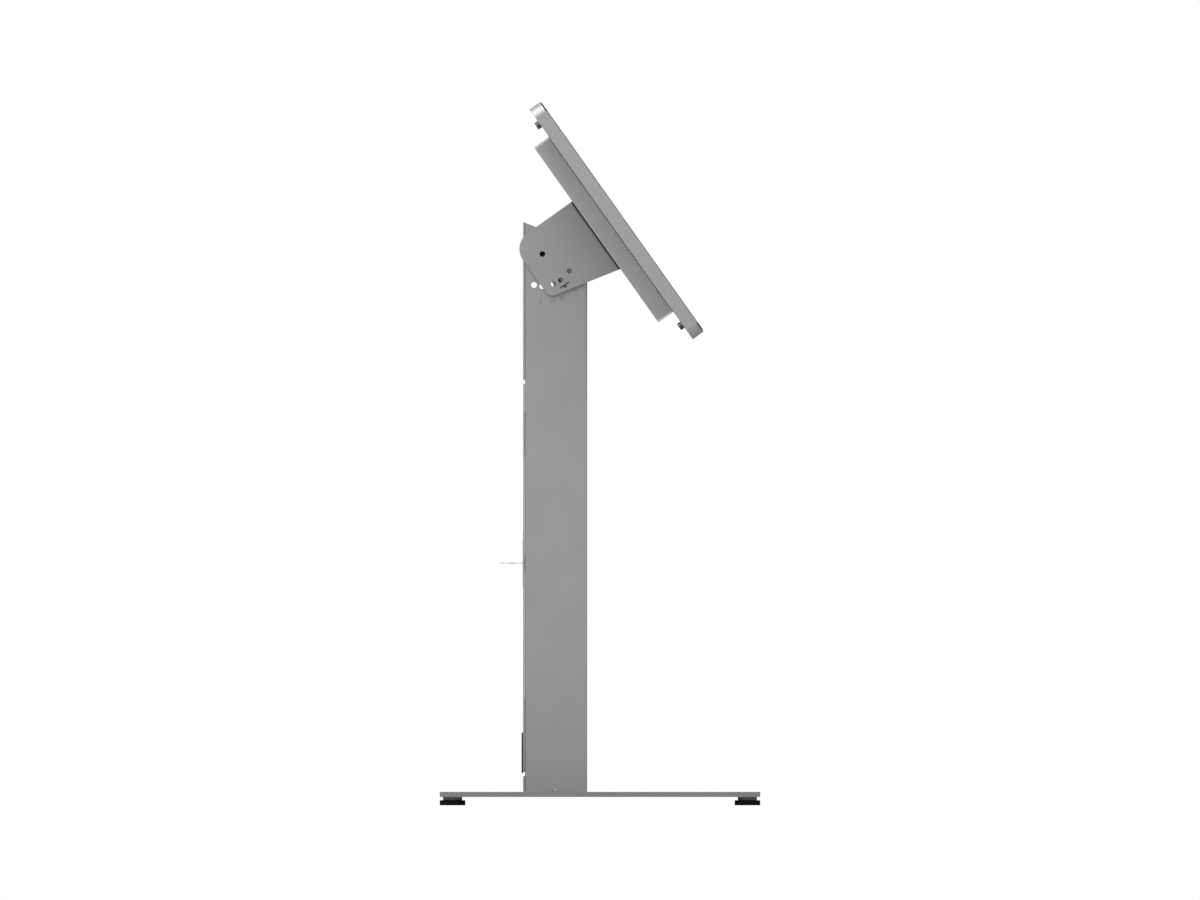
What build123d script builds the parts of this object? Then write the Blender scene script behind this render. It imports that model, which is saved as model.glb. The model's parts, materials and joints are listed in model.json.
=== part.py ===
from build123d import *
import math
import os

# Screen kiosk stand: a floor stand with a tilting touch screen.
# Millimetres, +Z up, screen towards -Y, origin on the floor under the middle of the base plate.

# Base plate
base_width = 500.0
base_depth = 500.0
base_thickness = 8.0
base_corner_radius = 7.0
base_bolt_diameter = 8.0
base_bolt_head_diameter = 14.0
base_bolt_head_height = 4.0
base_bolt_recess = 0.5
base_bolt_side_inset = 18.0
base_bolt_end_inset = 16.0

# Levelling feet
pad_width = 40.0
pad_sides = 8
pad_height = 8.0
pad_edge_chamfer = 0.6
collar_diameter = 30.0
collar_height = 5.0
stud_diameter = 10.0
stud_below_surface = 0.5

# Column, folded from one sheet and open at the back
column_width = 160.0
column_depth = 100.0
column_rear = 120.0
column_height = 889.3
column_sheet = 2.0
column_bend = 3.0
column_return = 20.0
top_cut_angle = 22.0
foot_plate_thickness = 4.0
tab_width = 8.0
tab_slot_height = 4.2
tab_end_recess = 0.8

# Cap in the top of the column
cap_below_edge = 4.0
cap_skirt = 14.0
cap_hole_width = 70.0
cap_hole_length = 36.0
cap_hole_forward = -18.0
cap_trim_thickness = 2.0

# Rear covers and service door
cover_thickness = 2.5
cover_seam = 0.3
cover_gap = 6.0
cover_seat_width = 10.0
lower_cover_height = 24.5
door_height = 606.0
door_corner_radius = 2.0

# Door hinges
hinge_count = 2
hinge_end_distance = 80.0
hinge_length = 70.0
door_knuckle_length = 30.0
knuckle_radius = 2.8
knuckle_off_side = 0.2
hinge_pin_diameter = 3.0
hinge_pin_head_diameter = 5.0
hinge_pin_head_height = 1.2
hinge_leaf_width = 22.0
hinge_leaf_sheet = 1.5
hinge_leaf_clearance = 0.9

# Lock and key
lock_x = -40.0
lock_z = 378.0
lock_plate_height = 87.8
lock_plate_width = 29.8
lock_plate_proud = 0.6
lock_above_plate_middle = -5.5
lock_plate_gap = 0.1
lock_barrel_diameter = 18.0
lock_flange_diameter = 22.0
lock_flange_thickness = 1.2
lock_barrel_length = 14.0
lock_core_diameter = 12.0
lock_core_recess = 0.2
lock_nut_flats = 24.0
lock_nut_thickness = 4.0
cam_sheet = 2.0
cam_width = 12.0
cam_above_axis = 8.0
cam_past_nut = 2.5
cam_tip_gap = 0.5
cam_reach = 34.0
cam_square = 7.0
cam_washer_diameter = 12.0
cam_washer_thickness = 1.2
cam_screw_flats = 7.0
cam_screw_head_height = 2.8
key_proud = 36.5
key_thickness = 1.4
key_bow_diameter = 25.0
key_bow_hole_length = 9.0
key_bow_hole_width = 5.0
key_bow_hole_chamfer = 1.25
key_bow_hole_out = 5.0
key_tip_gap = 1.0
key_blade_width = 8.0
key_shoulder_width = 12.0
key_shoulder_gap = 2.0
keyway_clearance = 0.15
keyway_end_wall = 2.0

# Cable outlet in the door
outlet_width = 70.0
outlet_height = 64.0
outlet_below_door = 1.8
outlet_proud = 2.4
outlet_edge_chamfer = 1.1
outlet_rim = 8.0
outlet_corner_radius = 9.0
outlet_neck_wall = 2.5
outlet_neck_corner = 5.0
outlet_lip = 3.0
outlet_lip_thickness = 2.0

# Tilt pivot and index holes
pivot_from_rear = 30.0
pivot_below_top = 50.3
pivot_diameter = 9.0
pivot_tube_diameter = 16.0
pivot_screw_inside = 30.0
pivot_socket_flats = 5.0
pivot_socket_depth = 4.0
washer_diameter = 30.0
washer_thickness = 1.3
index_radius = 50.0
column_index_diameter = 9.0
column_index_angles = [-15.0, 0.0, 15.0, 30.0]
bracket_index_diameter = 8.0
bracket_index_angles = [-15.0, 0.0, 22.5]

# Index plungers
plunger_angle = 30.0
plunger_pin_diameter = 7.8
plunger_barrel_flats = 17.0
plunger_barrel_length = 24.0
plunger_chamber_diameter = 11.6
plunger_collar_thickness = 2.0
plunger_front_wall = 1.0
plunger_end_wall = 3.0
plunger_travel = 6.0
plunger_knob_flats = 16.0
plunger_knob_length = 10.0
plunger_play = 0.5
spring_play = 0.3
spring_wire = 1.3

# Tilting head, measured forwards and upwards from the pivot with the screen upright
tilt = 35.4
bracket_sheet = 3.0
bracket_bend = 4.0
bracket_front = 84.7
bracket_top = 40.0
bracket_ear_radius = 30.0
bracket_rear_bottom = 61.5
bracket_front_bottom = 89.5
bracket_toe_radius = 13.0
pointer_distance = 59.4
pointer_bar_length = 17.4
pointer_bar_width = 2.0
pointer_arrow_width = 8.4
pointer_arrow_height = 6.0
pointer_depth = 0.4
spacer_thickness = 1.0
spacer_width = 20.0
vesa_pitch = 100.0
vesa_screw_diameter = 4.0
vesa_head_diameter = 8.0
vesa_head_height = 2.6
vesa_screw_past_box = 4.0
cable_way_width = 60.0
cable_way_height = 56.0
cable_way_corner = 8.0
head_middle = -24.5

# Rear box
box_width = 520.0
box_height = 335.0
box_depth = 28.6
box_sheet = 1.5
box_bend = 2.5
box_lip = 14.0
box_end_thickness = 3.0
vent_count = 12
vent_length = 14.0
vent_width = 5.0
vent_margin = 46.0

# Boards in the rear box
board_x = -150.0
board_size = 170.0
board_thickness = 1.6
board_standoff = 6.0
standoff_flats = 6.0
standoff_inset = 7.0
sink_size = 64.0
sink_above_middle = 15.0
sink_base_thickness = 3.0
sink_height = 11.5
fin_count = 9
fin_thickness = 2.0
socket_count = 5
socket_pitch = 28.0
socket_width = 16.0
socket_depth = 15.0
socket_height = 7.0
supply_x = 150.0
supply_width = 110.0
supply_height = 180.0
supply_thickness = 20.0

# Screen frame, panel and glass
screen_width = 745.0
screen_height = 440.0
frame_depth = 21.7
frame_corner_radius = 18.0
frame_wall = 2.0
frame_back_sheet = 1.5
frame_opening_width = 400.0
frame_opening_height = 235.0
glass_thickness = 2.2
glass_gap = 0.4
gasket_thickness = 1.0
gasket_width = 10.0
gasket_inset = 1.0
lcd_margin = 15.0
lcd_thickness = 13.0
rail_width = 30.0
rail_end_gap = 3.0
thumbscrew_diameter = 12.0
thumbscrew_height = 6.6
thumbscrew_sides = 20
thumbscrew_shank_diameter = 5.0
thumbscrew_from_side = 42.5
thumbscrew_from_edge = 28.0

# Power adapter and cable clips inside the column
adapter_width = 70.0
adapter_length = 160.0
adapter_thickness = 36.0
adapter_edge_chamfer = 3.0
adapter_bottom = 470.0
holder_sheet = 1.5
holder_cup_height = 18.0
holder_strap_above = 98.0
holder_strap_height = 20.0
clip_heights = [200.0, 340.0, 700.0]
clip_width = 26.0
clip_depth = 15.0
clip_height = 10.0
clip_sheet = 1.6
clip_entry = 4.0

# Fits; a cutting shape reaches past what it cuts by the overcut
sliding_clearance = 0.05
part_gap = 0.3
screw_clearance = 0.2
overcut = 5.0
shank_sides = 12
ring_sides = 24
smallest_bend = 0.5

# Heights and depths that follow from the sizes above
plate_bottom = pad_height + collar_height
plate_top = plate_bottom + base_thickness
base_bolt_seat = plate_bottom + base_bolt_recess + base_bolt_head_height
column_front = column_rear - column_depth
column_back = column_rear - cover_thickness - cover_seam
column_top = plate_top + column_height
column_middle = (column_front + column_rear) / 2
side_inner = column_width / 2 - column_sheet
front_inner = column_front + column_sheet
back_inner = column_back - column_sheet
inner_middle = (front_inner + back_inner) / 2
lower_cover_bottom = plate_top + cover_seam
lower_cover_top = lower_cover_bottom + lower_cover_height
door_bottom = lower_cover_top + cover_gap
door_top = door_bottom + door_height
upper_cover_bottom = door_top + cover_gap
pivot_y = column_rear - pivot_from_rear
pivot_z = column_top - pivot_below_top
cheek_inner = column_width / 2 + washer_thickness + part_gap
cheek_outer = cheek_inner + bracket_sheet
hinge_x = column_width / 2 + knuckle_radius + knuckle_off_side
hinge_y = column_rear - knuckle_radius
foot_x = base_width / 2 - pad_width / 2
foot_y = base_depth / 2 - pad_width / 2
lock_plate_middle = lock_z - lock_above_plate_middle
lock_flange_rear = column_rear + lock_plate_proud - part_gap
lock_flange_front = lock_flange_rear - lock_flange_thickness
lock_end = lock_flange_front - lock_barrel_length
cam_rear = lock_end - part_gap
outlet_middle = door_bottom - outlet_below_door + outlet_height / 2
neck_half = outlet_width / 2 - outlet_rim + outlet_neck_wall
neck_top = outlet_middle + outlet_height / 2 - outlet_rim + outlet_neck_wall
box_back = bracket_front + spacer_thickness
frame_back = box_back + box_depth
glass_back = frame_back + frame_depth - glass_thickness
lcd_back = glass_back - gasket_thickness - lcd_thickness
lcd_width = screen_width - 2 * lcd_margin
lcd_height = screen_height - 2 * lcd_margin
rail_length = lcd_height - 2 * rail_end_gap
thumbscrew_x = screen_width / 2 - thumbscrew_from_side
thumbscrew_from_middle = screen_height / 2 - thumbscrew_from_edge


# Helpers
def flat_plate(outline, bottom, thickness):
    """A level plate from an outline in X and Y."""
    return extrude(Plane.XY.offset(bottom) * outline, amount=thickness)


def wall_plate(outline, rear, thickness):
    """An upright plate from an outline in X and Z, whose rear face is at y = rear."""
    return extrude(Plane.XZ.offset(-rear) * outline, amount=thickness)


def bar_x(outline, start, end, y, z):
    """A bar along X between two places."""
    plane = Plane(origin=(min(start, end), y, z), x_dir=(0, 1, 0), z_dir=(1, 0, 0))
    return extrude(plane * outline, amount=abs(end - start))


def bar_y(outline, start, end, x, z):
    """A bar along Y between two places."""
    plane = Plane(origin=(x, min(start, end), z), x_dir=(1, 0, 0), z_dir=(0, 1, 0))
    return extrude(plane * outline, amount=abs(end - start))


def bar_z(outline, start, end, x, y):
    """A bar along Z between two heights."""
    return extrude(Pos(x, y, min(start, end)) * outline, amount=abs(end - start))


def shank(diameter):
    """Outline of a screw or pin, with flats in place of its thread."""
    return RegularPolygon(diameter / 2, shank_sides)


def bore(diameter):
    """Outline of the hole for a screw or pin, nowhere narrower than the diameter."""
    return RegularPolygon(diameter / 2, shank_sides, major_radius=False)


def ring(diameter):
    """Outline of a small round thing, with enough flats to look round."""
    return RegularPolygon(diameter / 2, ring_sides)


def hexagon(flats):
    return RegularPolygon(flats / 2, 6, major_radius=False)


def head_plate(outline, forwards, thickness):
    """A plate square to the screen, from an outline about the middle of the screen."""
    return extrude(Plane.XZ.offset(forwards) * (Pos(0, head_middle) * outline), amount=thickness)


def head_channel(section, top, bottom):
    """A length along the screen's height, from a section in X and in the forward direction."""
    level = Plane(origin=(0, 0, top), x_dir=(1, 0, 0), z_dir=(0, 0, -1))
    return extrude(level * section, amount=top - bottom)


def tilted(shape):
    """Leans a part of the head back and puts it on the pivot."""
    return Pos(0, pivot_y, pivot_z) * Rot(-tilt, 0, 0) * shape


def index_place(angle):
    """Offset from the pivot of an index hole; the angle runs from straight down to the front."""
    along = index_radius * math.sin(math.radians(angle))
    down = index_radius * math.cos(math.radians(angle))
    return -along, -down


def corners(half_width, half_height):
    """The four corners about a middle."""
    return [(side * half_width, end * half_height) for side in (-1, 1) for end in (-1, 1)]


def cut_height(y):
    """Height of the sloping cut of the column at a given depth."""
    return column_top - (column_rear - y) * math.tan(math.radians(top_cut_angle))


def above_column():
    """Everything over the sloping cut at the top of the column."""
    big = 2 * (column_width + column_depth)
    half_space = Box(big, big, big, align=(Align.CENTER, Align.CENTER, Align.MIN))
    return Pos(0, column_rear, column_top) * Rot(top_cut_angle, 0, 0) * half_space


# Base and feet
def foot_places():
    """Name and place of each foot."""
    places = {}
    for end, y in (("front", -foot_y), ("rear", foot_y)):
        for side, x in (("left", -foot_x), ("right", foot_x)):
            places[end + "_" + side] = (x, y)
    return places


def base_bolt_places():
    """Places of the bolts that hold the column to the base plate."""
    half_width = side_inner - base_bolt_side_inset
    half_depth = (back_inner - front_inner) / 2 - base_bolt_end_inset
    return [(x, inner_middle + y) for x, y in corners(half_width, half_depth)]


def base_plate():
    outline = RectangleRounded(base_width, base_depth, base_corner_radius)
    for x, y in foot_places().values():
        outline = outline - Pos(x, y) * bore(stud_diameter + 2 * sliding_clearance)
    seats = []
    for x, y in base_bolt_places():
        outline = outline - Pos(x, y) * bore(base_bolt_diameter + 2 * screw_clearance)
        seat = bore(base_bolt_head_diameter + 2 * screw_clearance)
        seats.append(bar_z(seat, plate_bottom - overcut, base_bolt_seat, x, y))
    return flat_plate(outline, plate_bottom, base_thickness) - seats


def foot_collars():
    """Threaded bushes welded under the base plate, one for each foot."""
    outline = ring(collar_diameter) - bore(stud_diameter + 2 * sliding_clearance)
    return Compound([bar_z(outline, pad_height, plate_bottom, x, y) for x, y in foot_places().values()])


def foot_pad(x, y):
    """A black moulded pad with flat sides, so that it can be turned by hand or with a spanner."""
    outline = Rot(0, 0, 180 / pad_sides) * RegularPolygon(pad_width / 2, pad_sides, major_radius=False)
    pad = bar_z(outline, 0, pad_height, x, y)
    rims = pad.edges().group_by(Axis.Z)[0] + pad.edges().group_by(Axis.Z)[-1]
    return chamfer(rims, pad_edge_chamfer)


def foot_stud(x, y):
    """The threaded stud on a pad; its top stays just below the surface of the base plate."""
    return bar_z(shank(stud_diameter), pad_height, plate_top - stud_below_surface, x, y)


def base_bolts():
    """Low bolts, sunk in the underside of the base plate, up into the foot plate of the column."""
    low = base_bolt_seat - base_bolt_head_height
    bolts = []
    for x, y in base_bolt_places():
        head = bar_z(shank(base_bolt_head_diameter), low, base_bolt_seat, x, y)
        stem = bar_z(shank(base_bolt_diameter), base_bolt_seat, plate_top + foot_plate_thickness, x, y)
        bolts.append(head + stem)
    return Compound(bolts)


# Column
def column_section():
    """The folded section: front wall, two side walls and two returns."""
    middle = (column_back + column_front) / 2
    inner_bend = max(column_bend - column_sheet, smallest_bend)
    outer = Pos(0, middle) * RectangleRounded(column_width, column_back - column_front, column_bend)
    inner = Pos(0, middle) * RectangleRounded(2 * side_inner, back_inner - front_inner, inner_bend)
    mouth = Pos(0, column_back) * Rectangle(column_width - 2 * column_return, 4 * column_sheet)
    return outer - inner - mouth


def column():
    shell = flat_plate(column_section(), plate_top, column_height) - above_column()
    pivot_hole = bore(pivot_diameter + 2 * sliding_clearance)
    holes = [bar_x(pivot_hole, -column_width, column_width, pivot_y, pivot_z)]
    for angle in column_index_angles:
        along, up = index_place(angle)
        hole = Circle(column_index_diameter / 2)
        holes.append(bar_x(hole, -column_width, column_width, pivot_y + along, pivot_z + up))
    slot = Rectangle(tab_width + 2 * part_gap, 2 * tab_slot_height)
    holes.append(bar_x(slot, -column_width, column_width, column_middle, plate_top))
    return shell - holes


def column_foot():
    """The foot plate inside the column, with a tab in each side slot."""
    width = 2 * (side_inner - part_gap)
    outline = Pos(0, inner_middle) * Rectangle(width, back_inner - front_inner - 2 * part_gap)
    outline = outline + Pos(0, column_middle) * Rectangle(column_width - 2 * tab_end_recess, tab_width)
    for x, y in base_bolt_places():
        outline = outline - Pos(x, y) * bore(base_bolt_diameter + 2 * sliding_clearance)
    return flat_plate(outline, plate_top, foot_plate_thickness)


# Cap in the top of the column
def top_slope():
    """Level of the top cap: its upper face, with the middle of the column as origin."""
    return Pos(0, inner_middle, cut_height(inner_middle) - cap_below_edge) * Rot(top_cut_angle, 0, 0)


def top_cap():
    """A sloping plate just inside the top of the column, folded down along both sides."""
    width = 2 * (side_inner - part_gap)
    outer = Pos(0, -cap_skirt / 2) * Rectangle(width, cap_skirt)
    inner = Pos(0, -cap_skirt / 2 - column_sheet) * Rectangle(width - 2 * column_sheet, cap_skirt)
    folded = extrude(Plane.XZ * (outer - inner), amount=column_depth, both=True)
    hole = Pos(0, cap_hole_forward, 0) * Box(cap_hole_width, cap_hole_length, 4 * column_sheet)
    inside = Rectangle(width, back_inner - front_inner - 2 * part_gap)
    return (top_slope() * (folded - hole)) & bar_z(inside, plate_top, column_top, 0, inner_middle)


def top_trim():
    """A black rubber edge around the cable hole of the cap."""
    grip = cap_trim_thickness
    lip = Box(cap_hole_width + 2 * grip, cap_hole_length + 2 * grip, column_sheet + 2 * grip)
    groove = Box(cap_hole_width + 2 * overcut, cap_hole_length + 2 * overcut, column_sheet)
    core = Box(cap_hole_width, cap_hole_length, column_sheet)
    opening = Box(cap_hole_width - 2 * grip, cap_hole_length - 2 * grip, 4 * column_sheet)
    return top_slope() * Pos(0, cap_hole_forward, -column_sheet / 2) * (lip - (groove - core) - opening)


# Rear covers
def rear_cover(bottom, top):
    """A fixed cover plate, with two raised seats where it is welded to the returns of the column."""
    outline = Pos(0, (bottom + top) / 2) * Rectangle(column_width, top - bottom)
    cover = wall_plate(outline, column_rear, cover_thickness)
    for side in (-1, 1):
        x = side * (column_width - column_return) / 2
        seat = Pos(x, (bottom + top) / 2) * Rectangle(cover_seat_width, top - bottom)
        cover = cover + wall_plate(seat, column_rear - cover_thickness, cover_seam)
    return cover


def rear_cover_upper():
    return rear_cover(upper_cover_bottom, column_top + overcut) - above_column()


def rear_cover_lower():
    return rear_cover(lower_cover_bottom, lower_cover_top)


# Service door and hinges
def hinge_heights():
    """Middle height of each hinge."""
    low = door_bottom + hinge_end_distance
    step = (door_height - 2 * hinge_end_distance) / (hinge_count - 1)
    return [low + step * number for number in range(hinge_count)]


def outlet_neck(gap):
    """Outline of the outlet's neck, or with a gap that of its notch in the door."""
    low = door_bottom + part_gap - 2 * gap
    high = neck_top + gap
    outline = Pos(0, (high + low) / 2) * Rectangle(2 * (neck_half + gap), high - low)
    return chamfer(outline.vertices(), outlet_neck_corner)


def rear_door():
    """The door plate with its rolled knuckles, the lock window and the cable notch."""
    middle = (door_bottom + door_top) / 2
    outline = Pos(0, middle) * RectangleRounded(column_width, door_height, door_corner_radius)
    gap = 2 * lock_plate_gap
    window = SlotOverall(lock_plate_height + gap, lock_plate_width + gap, rotation=90)
    outline = outline - Pos(lock_x, lock_plate_middle) * window
    notch = outlet_neck(part_gap) + Pos(0, door_bottom) * Rectangle(2 * (neck_half + part_gap), 4 * overcut)
    door = wall_plate(outline - notch, column_rear, cover_thickness)
    side = column_width / 2
    for z in hinge_heights():
        low = z - door_knuckle_length / 2
        high = z + door_knuckle_length / 2
        arm_width = hinge_x - side + overcut
        arm = Pos(hinge_x - arm_width / 2, z) * Rectangle(arm_width, door_knuckle_length)
        knuckle = bar_z(Circle(knuckle_radius), low, high, hinge_x, hinge_y)
        pin_hole = bar_z(bore(hinge_pin_diameter + 2 * sliding_clearance), low, high, hinge_x, hinge_y)
        door = door + wall_plate(arm, column_rear, cover_thickness) + knuckle - pin_hole
    return door


def hinge_leaves():
    """The fixed leaves on the side of the column, each with a knuckle above and below the door's."""
    leaves = []
    side = column_width / 2
    root = hinge_y - knuckle_radius - hinge_leaf_clearance
    inner = door_knuckle_length / 2 + part_gap
    outer = hinge_length / 2
    leaf_section = Pos(side + hinge_leaf_sheet / 2, root - hinge_leaf_width / 2) * Rectangle(
        hinge_leaf_sheet, hinge_leaf_width)
    arm_section = Pos(side + hinge_leaf_sheet / 2, (root + hinge_y) / 2) * Rectangle(
        hinge_leaf_sheet, hinge_y - root)
    knuckle_section = Pos(hinge_x, hinge_y) * shank(2 * knuckle_radius)
    pin_hole = Pos(hinge_x, hinge_y) * bore(hinge_pin_diameter + 2 * sliding_clearance)
    for z in hinge_heights():
        leaf = flat_plate(leaf_section, z - outer, hinge_length)
        for low in (z - outer, z + inner):
            leaf = leaf + flat_plate(arm_section + knuckle_section - pin_hole, low, outer - inner)
        leaves.append(leaf)
    return Compound(leaves)


def hinge_pins():
    pins = []
    for z in hinge_heights():
        top = z + hinge_length / 2
        pin = bar_z(shank(hinge_pin_diameter), top - hinge_length, top, hinge_x, hinge_y)
        head = bar_z(shank(hinge_pin_head_diameter), top, top + hinge_pin_head_height, hinge_x, hinge_y)
        pins.append(pin + head)
    return Compound(pins)


# Cable outlet
def cable_outlet():
    """A black moulded bezel that lines the notch, with a rim outside and a lip inside the door."""
    rim_outline = Pos(0, outlet_middle) * RectangleRounded(outlet_width, outlet_height, outlet_corner_radius)
    rim = wall_plate(rim_outline, column_rear + outlet_proud, outlet_proud)
    rim = chamfer(rim.faces().sort_by(Axis.Y)[-1].edges(), outlet_edge_chamfer)
    neck = wall_plate(outlet_neck(0), column_rear, cover_thickness + part_gap)
    low = door_bottom + part_gap
    high = neck_top + outlet_lip
    lip_outline = Pos(0, (high + low) / 2) * Rectangle(2 * (neck_half + outlet_lip), high - low)
    lip = wall_plate(lip_outline, column_rear - cover_thickness - part_gap, outlet_lip_thickness)
    opening = Pos(0, outlet_middle) * Rectangle(outlet_width - 2 * outlet_rim, outlet_height - 2 * outlet_rim)
    opening = chamfer(opening.vertices(), outlet_neck_corner - outlet_neck_wall / 2)
    return rim + neck + lip - wall_plate(opening, column_rear + overcut, 4 * overcut)


# Lock
def lock_plate():
    """A plate with rounded ends, almost flush in the door, around the lock."""
    outline = Pos(lock_x, lock_plate_middle) * SlotOverall(lock_plate_height, lock_plate_width, rotation=90)
    plate = wall_plate(outline, column_rear + lock_plate_proud, cover_thickness + lock_plate_proud)
    seat = ring(lock_flange_diameter + 2 * screw_clearance)
    barrel = bore(lock_barrel_diameter + 2 * sliding_clearance)
    plate = plate - bar_y(seat, lock_flange_front, column_rear + overcut, lock_x, lock_z)
    return plate - bar_y(barrel, column_back - overcut, column_rear, lock_x, lock_z)


def lock_housing():
    barrel = bar_y(shank(lock_barrel_diameter), lock_end, lock_flange_front, lock_x, lock_z)
    flange = bar_y(ring(lock_flange_diameter), lock_flange_front, lock_flange_rear, lock_x, lock_z)
    core_hole = bore(lock_core_diameter + 2 * sliding_clearance)
    return barrel + flange - bar_y(core_hole, lock_end, lock_flange_rear, lock_x, lock_z)


def lock_nut():
    rear = column_rear - cover_thickness
    outline = hexagon(lock_nut_flats) - bore(lock_barrel_diameter + 2 * sliding_clearance)
    return bar_y(outline, rear - lock_nut_thickness, rear, lock_x, lock_z)


def lock_core():
    """The turning plug: keyway outside, square end for the cam inside."""
    core_rear = lock_flange_rear - lock_core_recess
    core = bar_y(Circle(lock_core_diameter / 2), cam_rear, core_rear, lock_x, lock_z)
    keyway = Rectangle(key_blade_width + 2 * keyway_clearance, key_thickness + 2 * keyway_clearance)
    square_end = cam_rear - cam_sheet - 2 * part_gap
    square = bar_y(Rectangle(cam_square, cam_square), square_end, cam_rear, lock_x, lock_z)
    return core - bar_y(keyway, lock_end + keyway_end_wall, column_rear + overcut, lock_x, lock_z) + square


def lock_cam():
    """A cranked cam; unlocked it hangs straight down, locked it reaches behind the return."""
    tip = back_inner - cam_tip_gap
    leg = lock_nut_flats / 2 / math.cos(math.radians(30)) + cam_past_nut
    path = Polyline((cam_above_axis, cam_rear), (cam_above_axis, cam_rear - cam_sheet),
                    (-leg - cam_sheet, cam_rear - cam_sheet), (-leg - cam_sheet, tip - cam_sheet),
                    (-cam_reach, tip - cam_sheet), (-cam_reach, tip),
                    (-leg, tip), (-leg, cam_rear), close=True)
    side_view = Plane(origin=(lock_x, 0, lock_z), x_dir=(0, 0, 1), z_dir=(-1, 0, 0))
    cam = extrude(side_view * make_face(path), amount=cam_width / 2, both=True)
    hole = Rectangle(cam_square + screw_clearance, cam_square + screw_clearance)
    return cam - bar_y(hole, cam_rear - 2 * cam_sheet, cam_rear + overcut, lock_x, lock_z)


def cam_screw():
    """The screw and its washer that hold the cam on the square end."""
    washer_rear = cam_rear - cam_sheet - 2 * part_gap
    head_rear = washer_rear - cam_washer_thickness
    washer = bar_y(shank(cam_washer_diameter), head_rear, washer_rear, lock_x, lock_z)
    head_front = head_rear - cam_screw_head_height
    return washer + bar_y(hexagon(cam_screw_flats), head_front, head_rear, lock_x, lock_z)


def key():
    """A flat key in the lock, its bow seen edge-on from the side."""
    bow_middle = column_rear + key_proud - key_bow_diameter / 2
    blade_end = lock_end + keyway_end_wall + key_tip_gap
    shoulder_start = lock_flange_rear + key_shoulder_gap
    bow = Pos(lock_x, bow_middle) * ring(key_bow_diameter)
    shoulder = Pos(lock_x, (bow_middle + shoulder_start) / 2) * Rectangle(
        key_shoulder_width, bow_middle - shoulder_start)
    blade = Pos(lock_x, (blade_end + bow_middle) / 2) * Rectangle(key_blade_width, bow_middle - blade_end)
    hole = Pos(lock_x, bow_middle + key_bow_hole_out) * Rectangle(key_bow_hole_length, key_bow_hole_width)
    hole = chamfer(hole.vertices(), key_bow_hole_chamfer)
    return flat_plate(bow + shoulder + blade - hole, lock_z - key_thickness / 2, key_thickness)


# Tilt pivot
def pivot_tube():
    """A spacer tube between the side walls, which carries the pivot screws."""
    outline = shank(pivot_tube_diameter) - bore(pivot_diameter + 2 * sliding_clearance)
    return bar_x(outline, -side_inner, side_inner, pivot_y, pivot_z)


def pivot_screws():
    """Black socket screws whose plain shanks are the tilt axle, flush with the cheeks."""
    screws = []
    for side in (-1, 1):
        inner_end = side * (side_inner - pivot_screw_inside)
        screw = bar_x(Circle(pivot_diameter / 2), inner_end, side * cheek_outer, pivot_y, pivot_z)
        socket_end = side * (cheek_outer - pivot_socket_depth)
        past_cheek = side * (cheek_outer + overcut)
        socket = bar_x(hexagon(pivot_socket_flats), socket_end, past_cheek, pivot_y, pivot_z)
        screws.append(screw - socket)
    return Compound(screws)


def friction_washers():
    """Flat twelve-sided rings between the cheeks and the column, which brake the tilt."""
    outline = shank(washer_diameter) - bore(pivot_diameter + 4 * sliding_clearance)
    washers = []
    for side in (-1, 1):
        start = side * column_width / 2
        washers.append(bar_x(outline, start, start + side * washer_thickness, pivot_y, pivot_z))
    return Compound(washers)


# Index plungers
def plunger_place():
    along, up = index_place(plunger_angle)
    return pivot_y + along, pivot_z + up


def plunger_barrels():
    """Six-sided barrels on the inside of the side walls, bored for the pin and its spring."""
    y, z = plunger_place()
    barrels = []
    for side in (-1, 1):
        start = side * side_inner
        end = start - side * plunger_barrel_length
        barrel = bar_x(hexagon(plunger_barrel_flats), start, end, y, z)
        chamber_start = start - side * plunger_front_wall
        chamber_end = end + side * plunger_end_wall
        chamber = bar_x(bore(plunger_chamber_diameter), chamber_start, chamber_end, y, z)
        pin_hole = bar_x(bore(plunger_pin_diameter + 2 * sliding_clearance), start, end, y, z)
        barrels.append(barrel - chamber - pin_hole)
    return Compound(barrels)


def plunger_springs():
    """The return springs inside the barrels, as sleeves at their shortest length."""
    y, z = plunger_place()
    outer = plunger_chamber_diameter - 2 * spring_play
    sleeve = shank(outer) - bore(outer - 2 * spring_wire)
    walls = plunger_front_wall + plunger_end_wall
    moving = plunger_collar_thickness + plunger_travel + 2 * plunger_play
    length = plunger_barrel_length - walls - moving
    springs = []
    for side in (-1, 1):
        seat = side * (side_inner - plunger_barrel_length + plunger_end_wall)
        springs.append(bar_x(sleeve, seat, seat + side * length, y, z))
    return Compound(springs)


def plunger_pin(side):
    """An index pin with its collar and pull knob; the tip waits behind the cheek."""
    y, z = plunger_place()
    knob_start = side * (side_inner - plunger_barrel_length - 2 * plunger_play)
    pin = bar_x(shank(plunger_pin_diameter), side * (cheek_inner - part_gap), knob_start, y, z)
    collar_start = side * (side_inner - plunger_front_wall - plunger_play)
    collar_end = collar_start - side * plunger_collar_thickness
    collar = bar_x(shank(plunger_chamber_diameter - 2 * spring_play), collar_start, collar_end, y, z)
    knob = bar_x(hexagon(plunger_knob_flats), knob_start, knob_start - side * plunger_knob_length, y, z)
    return pin + collar + knob


# Things inside the column
def power_adapter():
    """The screen's power adapter, a black brick held against the front wall."""
    middle = front_inner + holder_sheet + part_gap + adapter_thickness / 2
    outline = Pos(0, middle) * Rectangle(adapter_width, adapter_thickness)
    return flat_plate(chamfer(outline.vertices(), adapter_edge_chamfer), adapter_bottom, adapter_length)


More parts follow.
